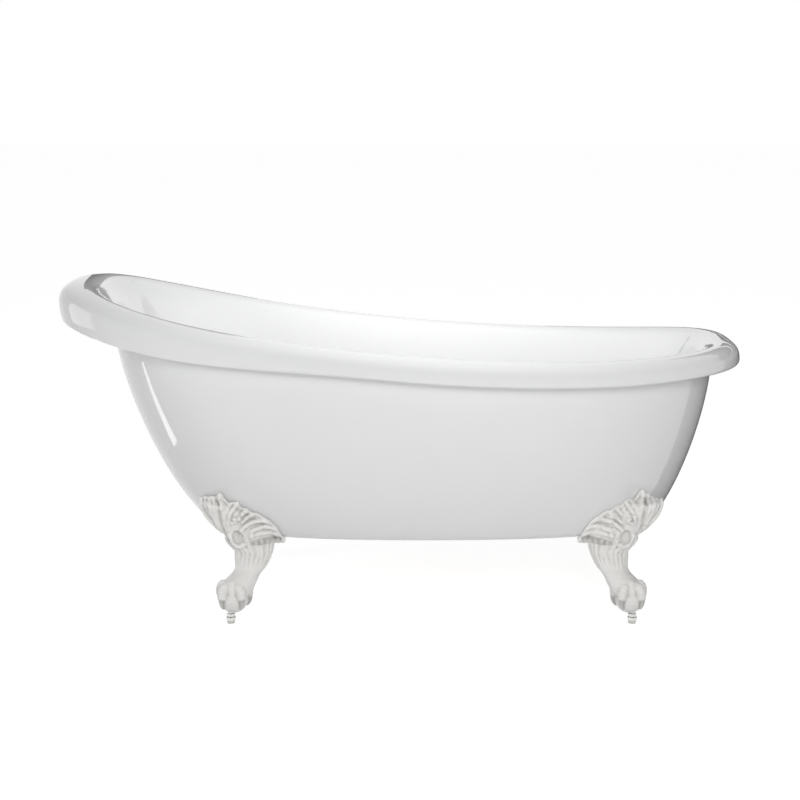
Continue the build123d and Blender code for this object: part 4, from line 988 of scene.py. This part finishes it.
def make_screw(end, side):
    """Spigot, hexagon collar and threaded stud, turned from one bar."""
    node = f"levelling_screw_{end}_{side}"
    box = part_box(node)
    low, high = box[0].z, box[1].z
    collar_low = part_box(f"levelling_pad_{end}_{side}")[1].z + COLLAR_CLEAR
    collar_high = collar_low + COLLAR_HEIGHT
    rows = [(SPIGOT_RADIUS * SPIGOT_TIP_SHARE, low, None), (SPIGOT_RADIUS, low + SPIGOT_CHAMFER, None),
            (SPIGOT_RADIUS, collar_low, None),
            *hexagon_rows(COLLAR_HALF_FLATS, collar_low, collar_high),
            (STUD_RADIUS - THREAD_DEPTH, collar_high, None),
            *thread_rows(STUD_RADIUS, collar_high + STUD_CHAMFER, high - STUD_CHAMFER),
            (STUD_RADIUS - THREAD_DEPTH, high - STUD_CHAMFER, None),
            (STUD_RADIUS * STUD_TIP_SHARE, high, None)]
    bm = bmesh.new()
    loft(bm, round_rings(middle_of(box), rows))
    screw = new_piece(f"screw_{end}_{side}", bm)
    shade_smooth(screw, sharp_degrees=32)
    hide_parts(node)
    return screw


def make_glide(end, side):
    """Round glide with a softened foot, a rim groove and the socket that the screw's spigot turns in."""
    node = f"levelling_pad_{end}_{side}"
    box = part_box(node)
    top, radius = box[1].z, (box[1].x - box[0].x) / 2
    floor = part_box(f"levelling_screw_{end}_{side}")[0].z
    edge = [(radius - GLIDE_EDGE * (1 - sin(angle)), GLIDE_EDGE * (1 - cos(angle)), None)
            for angle in np.linspace(0, pi / 2, GLIDE_EDGE_STATIONS)]
    groove = [(radius - depth, top * share, None)
              for depth, share in zip((0, GLIDE_GROOVE_DEPTH, GLIDE_GROOVE_DEPTH, 0), GLIDE_GROOVE)]
    rolled = [(radius - inward, top - below, None) for inward, below in GLIDE_TOP_EDGE]
    rows = [*edge, *groove, *rolled, (GLIDE_SOCKET + GLIDE_SOCKET_CHAMFER, top, None),
            (GLIDE_SOCKET, top - GLIDE_SOCKET_CHAMFER, None), (GLIDE_SOCKET, floor, None)]
    bm = bmesh.new()
    loft(bm, round_rings(middle_of(box), rows))
    glide = new_piece(f"glide_{end}_{side}", bm)
    shade_smooth(glide, sharp_degrees=40)
    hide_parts(node)
    return glide


def make_lock_nuts():
    """Thin hexagon nuts up against the feet, one on each stud."""
    low, high = (corner.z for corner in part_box("lock_nuts"))
    bm = bmesh.new()
    for end in END_SIGN:
        for side in ("front", "back"):
            rows = [*hexagon_rows(LOCK_NUT_HALF_FLATS, low, high),
                    (NUT_BORE + NUT_BORE_CHAMFER, high, None), (NUT_BORE, high - NUT_BORE_CHAMFER, None),
                    (NUT_BORE, low + NUT_BORE_CHAMFER, None), (NUT_BORE + NUT_BORE_CHAMFER, low, None)]
            rings = round_rings(middle_of(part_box(f"levelling_screw_{end}_{side}")), rows)
            nut = loop_piece("nut", rings)
            bm.from_mesh(nut.data)
            bpy.data.objects.remove(nut)
    nuts = new_piece("levelling_lock_nuts", bm)
    shade_smooth(nuts, sharp_degrees=30)
    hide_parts("lock_nuts")
    return nuts


def make_plug_cap():
    """Low domed push cap with a rolled edge and a faint ring round its crown."""
    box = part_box("drain_plug")
    low, high, radius = box[0].z, box[1].z, (box[1].x - box[0].x) / 2
    foot = [(radius - inward, low + above, None) for inward, above in PLUG_FOOT_EDGE]
    edge = [(radius - PLUG_EDGE * (1 - cos(angle)), high - PLUG_DOME - PLUG_EDGE * (1 - sin(angle)), None)
            for angle in np.linspace(0, pi / 2, PLUG_EDGE_STATIONS)]
    crown = [(radius * share, high - PLUG_DOME * share ** 2, None) for share in PLUG_CROWN]
    ring_radius, ring_height, _ = crown[PLUG_RING]
    crown[PLUG_RING] = (ring_radius, ring_height - PLUG_RING_DEPTH, None)
    bm = bmesh.new()
    loft(bm, round_rings(middle_of(box), [*foot, *edge, *crown], PLUG_SIDES))
    cap = new_piece("plug_cap", bm)
    shade_smooth(cap, sharp_degrees=40)
    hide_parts("drain_plug")
    return cap


# ---------------------------------------------------------------- materials
def group_socket(group, name, kind, in_out, default=None):
    socket = group.interface.new_socket(name=name, in_out=in_out, socket_type=kind)
    if default is not None:
        socket.default_value = default


def noise(nodes, links, vector, scale, detail, roughness):
    node = nodes.new("ShaderNodeTexNoise")
    node.inputs["Detail"].default_value = detail
    node.inputs["Roughness"].default_value = roughness
    if isinstance(scale, (int, float)):
        node.inputs["Scale"].default_value = scale
    else:
        links.new(scale, node.inputs["Scale"])
    links.new(vector, node.inputs["Vector"])
    return node.outputs["Fac"]


def scalar(nodes, links, operation, *values):
    node = nodes.new("ShaderNodeMath")
    node.operation = operation
    for socket, value in zip(node.inputs, values):
        if isinstance(value, (int, float)):
            socket.default_value = value
        else:
            links.new(value, socket)
    return node.outputs[0]


def spread_range(nodes, links, value, from_low, from_high, to_low, to_high):
    node = nodes.new("ShaderNodeMapRange")
    amounts = {"From Min": from_low, "From Max": from_high, "To Min": to_low, "To Max": to_high}
    for name, amount in amounts.items():
        if isinstance(amount, (int, float)):
            node.inputs[name].default_value = amount
        else:
            links.new(amount, node.inputs[name])
    links.new(value, node.inputs["Value"])
    return node.outputs["Result"]


def mixed_colour(nodes, links, share, first, second):
    node = nodes.new("ShaderNodeMix")
    node.data_type = "RGBA"
    for name, value in (("Factor", share), ("A", first), ("B", second)):
        socket = next(socket for socket in node.inputs if socket.name == name and socket.enabled)
        if isinstance(value, (int, float)):
            socket.default_value = value
        elif isinstance(value, tuple):
            socket.default_value = (*value, 1)
        else:
            links.new(value, socket)
    return next(socket for socket in node.outputs if socket.enabled)


CLOUD_RANGE, WIPE_RANGE = (0.35, 0.75), (0.3, 0.7)    # part of the noise that is spread to the full range
WIPE_OVER_CLOUD = 2.7                        # how much finer the wiped gloss is than the clouding


def make_surface_group():
    """Handled surface: cloudy colour, wiped gloss and a fine height, at a scale of the user's own."""
    group = bpy.data.node_groups.new("handled_surface", "ShaderNodeTree")
    group_socket(group, "Colour", "NodeSocketColor", "INPUT", (0.8, 0.8, 0.8, 1))
    group_socket(group, "Shade", "NodeSocketColor", "INPUT", (0.6, 0.6, 0.6, 1))
    group_socket(group, "Cloud Scale", "NodeSocketFloat", "INPUT", 6.0)
    group_socket(group, "Cloud Share", "NodeSocketFloat", "INPUT", 0.1)
    group_socket(group, "Rough Low", "NodeSocketFloat", "INPUT", 0.05)
    group_socket(group, "Rough High", "NodeSocketFloat", "INPUT", 0.12)
    group_socket(group, "Grain Scale", "NodeSocketFloat", "INPUT", 400.0)
    group_socket(group, "Colour", "NodeSocketColor", "OUTPUT")
    group_socket(group, "Roughness", "NodeSocketFloat", "OUTPUT")
    group_socket(group, "Height", "NodeSocketFloat", "OUTPUT")
    nodes, links = group.nodes, group.links
    given, made = nodes.new("NodeGroupInput"), nodes.new("NodeGroupOutput")
    place = nodes.new("ShaderNodeTexCoord").outputs["Object"]
    cloud = noise(nodes, links, place, given.outputs["Cloud Scale"], detail=4.0, roughness=0.55)
    share = scalar(nodes, links, "MULTIPLY", spread_range(nodes, links, cloud, *CLOUD_RANGE, 0.0, 1.0),
                   given.outputs["Cloud Share"])
    clouded = mixed_colour(nodes, links, share, given.outputs["Colour"], given.outputs["Shade"])
    links.new(clouded, made.inputs["Colour"])
    wipe_scale = scalar(nodes, links, "MULTIPLY", given.outputs["Cloud Scale"], WIPE_OVER_CLOUD)
    wipe = noise(nodes, links, place, wipe_scale, detail=5.0, roughness=0.6)
    roughness = spread_range(nodes, links, wipe, *WIPE_RANGE, given.outputs["Rough Low"],
                             given.outputs["Rough High"])
    links.new(roughness, made.inputs["Roughness"])
    grain = noise(nodes, links, place, given.outputs["Grain Scale"], detail=2.0, roughness=0.5)
    links.new(grain, made.inputs["Height"])
    return group


SURFACE = make_surface_group()


def new_material(name):
    material = bpy.data.materials.new(name)
    material.use_nodes = True
    nodes, links = material.node_tree.nodes, material.node_tree.links
    return material, nodes, links, nodes["Principled BSDF"]


def surface_node(nodes, colour, shade, cloud_scale, cloud_share, rough_low, rough_high, grain_scale):
    node = nodes.new("ShaderNodeGroup")
    node.node_tree = SURFACE
    values = {"Colour": (*colour, 1), "Shade": (*shade, 1),
              "Cloud Scale": cloud_scale, "Cloud Share": cloud_share,
              "Rough Low": rough_low, "Rough High": rough_high, "Grain Scale": grain_scale}
    for key, value in values.items():
        node.inputs[key].default_value = value
    return node


def bump(nodes, links, shader, height, distance):
    node = nodes.new("ShaderNodeBump")
    node.inputs["Distance"].default_value = distance
    links.new(height, node.inputs["Height"])
    links.new(node.outputs["Normal"], shader.inputs["Normal"])


def plain_finish(name, colour, shade, cloud, rough, grain, metallic=0.0):
    """The handled surface alone: cloud is its scale and share, grain its scale and height."""
    material, nodes, links, shader = new_material(name)
    surface = surface_node(nodes, colour, shade, *cloud, *rough, grain[0])
    links.new(surface.outputs["Colour"], shader.inputs["Base Color"])
    links.new(surface.outputs["Roughness"], shader.inputs["Roughness"])
    shader.inputs["Metallic"].default_value = metallic
    bump(nodes, links, shader, surface.outputs["Height"], grain[1])
    return material


ACRYLIC_WHITE, ACRYLIC_SHADE = (0.83, 0.832, 0.835), (0.80, 0.802, 0.806)
ACRYLIC_IOR = 1.49
ACRYLIC_COAT, ACRYLIC_COAT_ROUGHNESS = 0.35, 0.03
ACRYLIC_WAVE_SCALE, ACRYLIC_WAVE_HEIGHT = 7.0, 0.0006
ACRYLIC_GRAIN_SHARE = 0.004
ENAMEL, ENAMEL_SHADE = (0.88, 0.87, 0.848), (0.83, 0.82, 0.795)
# painted shade: the colour and share that the foot's hollows are darkened towards
ENAMEL_PAINTED_SHADE, ENAMEL_PAINTED_SHADE_SHARE, ENAMEL_HOLLOW_ROUGHNESS = (0.44, 0.432, 0.41), 0.62, 0.3
ENAMEL_PAINTED_SHADE_RANGE, ENAMEL_PAINTED_HIGHLIGHT_RANGE = (0.05, 1.0), (-0.9, -0.1)    # of the field of hollows
# darker claws, and painted shade under the leaf's lower edge: colour and share
ENAMEL_CLAW_AND_PAINTED_SHADE, ENAMEL_CLAW_AND_PAINTED_SHADE_SHARE = (0.34, 0.335, 0.32), 0.75
# painted highlight: the colour and share that the foot's ridges are lightened towards
ENAMEL_PAINTED_HIGHLIGHT, ENAMEL_PAINTED_HIGHLIGHT_SHARE = (0.94, 0.935, 0.92), 0.35
ENAMEL_PIT_SCALE, ENAMEL_PIT_HEIGHT = 220.0, 0.00035
ENAMEL_GRAIN_SHARE = 0.3


def bath_acrylic():
    """Cast white acrylic sheet: deep gloss, faint clouding, the slightest waviness of a drawn sheet."""
    material, nodes, links, shader = new_material("bath_acrylic")
    surface = surface_node(nodes, ACRYLIC_WHITE, ACRYLIC_SHADE, cloud_scale=3.0, cloud_share=0.5,
                           rough_low=0.045, rough_high=0.085, grain_scale=900.0)
    links.new(surface.outputs["Colour"], shader.inputs["Base Color"])
    links.new(surface.outputs["Roughness"], shader.inputs["Roughness"])
    shader.inputs["IOR"].default_value = ACRYLIC_IOR
    shader.inputs["Coat Weight"].default_value = ACRYLIC_COAT
    shader.inputs["Coat Roughness"].default_value = ACRYLIC_COAT_ROUGHNESS
    place = nodes.new("ShaderNodeTexCoord").outputs["Object"]
    wave = noise(nodes, links, place, ACRYLIC_WAVE_SCALE, detail=1.0, roughness=0.4)
    grain = scalar(nodes, links, "MULTIPLY", surface.outputs["Height"], ACRYLIC_GRAIN_SHARE)
    bump(nodes, links, shader, scalar(nodes, links, "ADD", wave, grain), ACRYLIC_WAVE_HEIGHT)
    return material


def attribute(nodes, name):
    node = nodes.new("ShaderNodeAttribute")
    node.attribute_name = name
    return node.outputs["Fac"]


def foot_enamel():
    """Satin off-white enamel on cast iron: duller and with painted shade in the hollows, a painted highlight
    on the ridges, darker claws and painted shade under the leaf's lower edge.
    """
    material, nodes, links, shader = new_material("foot_enamel")
    surface = surface_node(nodes, ENAMEL, ENAMEL_SHADE, cloud_scale=30.0, cloud_share=0.5,
                           rough_low=0.24, rough_high=0.38, grain_scale=1400.0)
    hollow = attribute(nodes, "hollow")
    # painted shade in the hollows, darker where they lie deeper
    depth = spread_range(nodes, links, hollow, *ENAMEL_PAINTED_SHADE_RANGE, 0.0, ENAMEL_PAINTED_SHADE_SHARE)
    # painted highlight on the ridges
    painted_highlight = spread_range(nodes, links, hollow, *ENAMEL_PAINTED_HIGHLIGHT_RANGE, ENAMEL_PAINTED_HIGHLIGHT_SHARE, 0.0)
    # darker claws, and painted shade under the leaf's lower edge
    claw_and_shade = spread_range(nodes, links, attribute(nodes, "dark_claws_and_painted_shade"), 0.0, 1.0, 0.0, ENAMEL_CLAW_AND_PAINTED_SHADE_SHARE)
    colour = mixed_colour(nodes, links, depth, surface.outputs["Colour"], ENAMEL_PAINTED_SHADE)
    colour = mixed_colour(nodes, links, claw_and_shade, colour, ENAMEL_CLAW_AND_PAINTED_SHADE)
    links.new(mixed_colour(nodes, links, painted_highlight, colour, ENAMEL_PAINTED_HIGHLIGHT), shader.inputs["Base Color"])
    dulled = scalar(nodes, links, "MULTIPLY", depth, ENAMEL_HOLLOW_ROUGHNESS)
    links.new(scalar(nodes, links, "ADD", surface.outputs["Roughness"], dulled), shader.inputs["Roughness"])
    place = nodes.new("ShaderNodeTexCoord").outputs["Object"]
    pits = noise(nodes, links, place, ENAMEL_PIT_SCALE, detail=4.0, roughness=0.6)
    grain = scalar(nodes, links, "MULTIPLY", surface.outputs["Height"], ENAMEL_GRAIN_SHARE)
    bump(nodes, links, shader, scalar(nodes, links, "ADD", pits, grain), ENAMEL_PIT_HEIGHT)
    return material


# finish: colour, shade, cloud scale and share, roughness low and high, grain scale and height, metallic
PLAIN_FINISHES = {
    "zinc_steel": ((0.66, 0.66, 0.64), (0.52, 0.52, 0.51), (90.0, 0.6), (0.30, 0.46), (900.0, 0.00004), 1.0),
    "chrome": ((0.86, 0.87, 0.88), (0.74, 0.75, 0.76), (40.0, 0.4), (0.04, 0.12), (1200.0, 0.000005), 1.0),
    "brass": ((0.72, 0.53, 0.24), (0.55, 0.38, 0.16), (80.0, 0.5), (0.22, 0.38), (900.0, 0.00003), 1.0),
    "black_rubber": ((0.035, 0.035, 0.036), (0.07, 0.07, 0.07), (60.0, 0.6), (0.6, 0.8), (1500.0, 0.00006)),
    "waste_plastic": ((0.76, 0.76, 0.74), (0.66, 0.66, 0.64), (20.0, 0.5), (0.32, 0.46), (1300.0, 0.00004)),
    "glide_plastic": ((0.74, 0.74, 0.72), (0.62, 0.62, 0.60), (70.0, 0.6), (0.45, 0.6), (1300.0, 0.00006)),
    "chipboard": ((0.60, 0.46, 0.30), (0.36, 0.25, 0.14), (420.0, 0.9), (0.6, 0.8), (700.0, 0.0003)),
    "timber": ((0.68, 0.50, 0.30), (0.48, 0.32, 0.17), (24.0, 0.9), (0.55, 0.72), (600.0, 0.0002)),
}
MATERIALS = {"bath_acrylic": bath_acrylic(), "foot_enamel": foot_enamel()}
for name, finish in PLAIN_FINISHES.items():
    MATERIALS[name] = plain_finish(name, *finish)


def dress(piece, slot, body="tub"):
    piece.data.materials.clear()
    piece.data.materials.append(MATERIALS[slot])
    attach(piece, body)


# ---------------------------------------------------------------- build
inner_tub = make_inner_tub()
dress(inner_tub, "bath_acrylic")
outer_skirt = make_outer_skirt()
dress(outer_skirt, "bath_acrylic")
skirt_tree = tree_of(outer_skirt)
for end in END_SIGN:
    foot = make_foot(end, skirt_tree)
    twin = mirrored_foot(foot, end)
    dress(foot, "foot_enamel")
    dress(twin, "foot_enamel")

for end in END_SIGN:
    for side in ("front", "back"):
        dress(make_screw(end, side), "zinc_steel", f"screw_{end}_{side}")
        dress(make_glide(end, side), "glide_plastic", f"pad_{end}_{side}")
dress(make_lock_nuts(), "zinc_steel")
dress(make_plug_cap(), "chrome", "plug")

slot_of = {part["node"]: part["material_slot"] for part in frame["record"]["subparts"]}
for name, node in frame["nodes"].items():
    node.data.materials.clear()
    node.data.materials.append(MATERIALS[slot_of[name]])


# ---------------------------------------------------------------- floor, light and camera
WORLD_ON_OBJECT = 0.29
FLOOR_HALF_SIZE = 30
FLOOR_SHADE = (0.85, 0.85, 0.85)
FLOOR_ROUGHNESS = 0.9
FLOOR_GLOW = 0.74
CARD_SHADE = (0.10, 0.10, 0.10)
CAMERA_PLACE = (-0.00075, -4.200, 1.31978)
CAMERA_PITCH = 10.93
CAMERA_LENS = 75.09
CAMERA_SENSOR = 36.0
# lamp: place, aim, size, power
LAMPS = {
    "front_light": ((0.60, -3.6, 2.2), (0, 0, 0.5), (2.2, 1.4), 34),
    "near_front": ((0.35, -2.4, 1.2), (0.15, 0, 0.45), (0.8, 0.8), 11.5),
    "near_top": ((0.05, -0.05, 1.30), (0.05, 0.05, 0.5), (0.7, 0.3), 4.3),
    "left_light": ((-2.4, -1.3, 1.0), (-0.4, -0.2, 0.3), (0.7, 0.7), 7),
}
RIGHT_STRIPS = ((0.0, 0.78), (0.84, 1.02), (1.10, 1.28), (1.40, 2.60))
# screen: corner, one edge, way of the other edge, strips from and to along that way, glow
CARDS = {
    "right_card": ((1.20, 2.00, 0), (2.40, -1.80, 0), (0, 0, 1), RIGHT_STRIPS, 0),
    "right_back_card": ((0.55, 2.00, 0.72), (0.65, 0, 0), (0, 0, 1), ((0, 0.22),), 0),
    "right_floor_card": ((0.80, -0.15, 0.03), (2.60, 0, 0), (0, 1, 0), ((0, 2.20),), 0),
    "back_card": ((-1.15, 2.00, 0.90), (0.70, 0, 0), (0, 0, 1), ((0, 0.70),), 0),
    "left_box": ((-2.50, -0.60, 0.25), (0, 1.30, 0), (0, 0, 1), ((0, 1.65),), 2.2),
    "floor_strip": ((-0.92, -0.215, 0.12), (0, 0.10, 0), (-1, 0, 0), ((0, 0.98),), 4.2),
}


def seen_ray(nodes, links):
    """1 for rays from the camera or mirrored in the object, 0 for the light that falls on it."""
    path = nodes.new("ShaderNodeLightPath")
    mirrored = scalar(nodes, links, "MAXIMUM", path.outputs["Is Glossy Ray"],
                      path.outputs["Is Transmission Ray"])
    return scalar(nodes, links, "MAXIMUM", path.outputs["Is Camera Ray"], mirrored)


def make_floor():
    bm = bmesh.new()
    bmesh.ops.create_grid(bm, x_segments=1, y_segments=1, size=FLOOR_HALF_SIZE)
    floor = new_piece("studio_floor", bm)
    material, nodes, links, shader = new_material("studio_floor")
    shader.inputs["Base Color"].default_value = (*FLOOR_SHADE, 1)
    shader.inputs["Roughness"].default_value = FLOOR_ROUGHNESS
    shader.inputs["Specular IOR Level"].default_value = 0.0
    shader.inputs["Emission Color"].default_value = (1, 1, 1, 1)
    glow = scalar(nodes, links, "MULTIPLY", seen_ray(nodes, links), FLOOR_GLOW)
    links.new(glow, shader.inputs["Emission Strength"])
    floor.data.materials.append(material)


def make_world():
    world = bpy.data.worlds.new("studio")
    bpy.context.scene.world = world
    world.use_nodes = True
    nodes, links = world.node_tree.nodes, world.node_tree.links
    background = nodes["Background"]
    background.inputs["Color"].default_value = (1, 1, 1, 1)
    strength = spread_range(nodes, links, seen_ray(nodes, links), 0.0, 1.0, WORLD_ON_OBJECT, 1.0)
    links.new(strength, background.inputs["Strength"])


def softbox(name, place, aim, size, power):
    """Large soft lamp that lights the object but isn't mirrored in its gloss."""
    light = bpy.data.lights.new(name, "AREA")
    light.shape = "RECTANGLE"
    light.size, light.size_y = size
    light.energy = power
    lamp = bpy.data.objects.new(name, light)
    lamp.location = place
    lamp.rotation_euler = (Vector(aim) - Vector(place)).to_track_quat("-Z", "Y").to_euler()
    lamp.visible_camera = False
    lamp.visible_glossy = False
    bpy.context.scene.collection.objects.link(lamp)


def card(name, corner, across, way, strips, glow):
    """Dark or glowing screen beside the object that only its gloss mirrors."""
    bm = bmesh.new()
    for start, end in strips:
        first = Vector(corner) + Vector(way) * start
        rail = bm.edges.new([bm.verts.new(place) for place in (first, first + Vector(across))])
        raised = bmesh.ops.extrude_edge_only(bm, edges=[rail])["geom"]
        bmesh.ops.translate(bm, verts=[item for item in raised if isinstance(item, bmesh.types.BMVert)],
                            vec=Vector(way) * end - Vector(way) * start)
    screen = new_piece(name, bm)
    material, _, _, shader = new_material(name)
    shader.inputs["Base Color"].default_value = (*CARD_SHADE, 1)
    shader.inputs["Roughness"].default_value = 1.0
    shader.inputs["Specular IOR Level"].default_value = 0.0
    shader.inputs["Emission Color"].default_value = (1, 1, 1, 1)
    shader.inputs["Emission Strength"].default_value = glow
    screen.data.materials.append(material)
    screen.visible_camera = screen.visible_diffuse = False
    screen.visible_shadow = screen.visible_transmission = False


def make_camera():
    data = bpy.data.cameras.new("camera")
    data.lens, data.sensor_width = CAMERA_LENS, CAMERA_SENSOR
    camera = bpy.data.objects.new("camera", data)
    camera.location = CAMERA_PLACE
    camera.rotation_euler = (radians(90 - CAMERA_PITCH), 0, 0)
    bpy.context.scene.collection.objects.link(camera)
    bpy.context.scene.camera = camera


make_floor()
make_world()
for name, lamp in LAMPS.items():
    softbox(name, *lamp)
for name, screen in CARDS.items():
    card(name, *screen)
make_camera()
bpy.context.scene.view_settings.view_transform = "Standard"
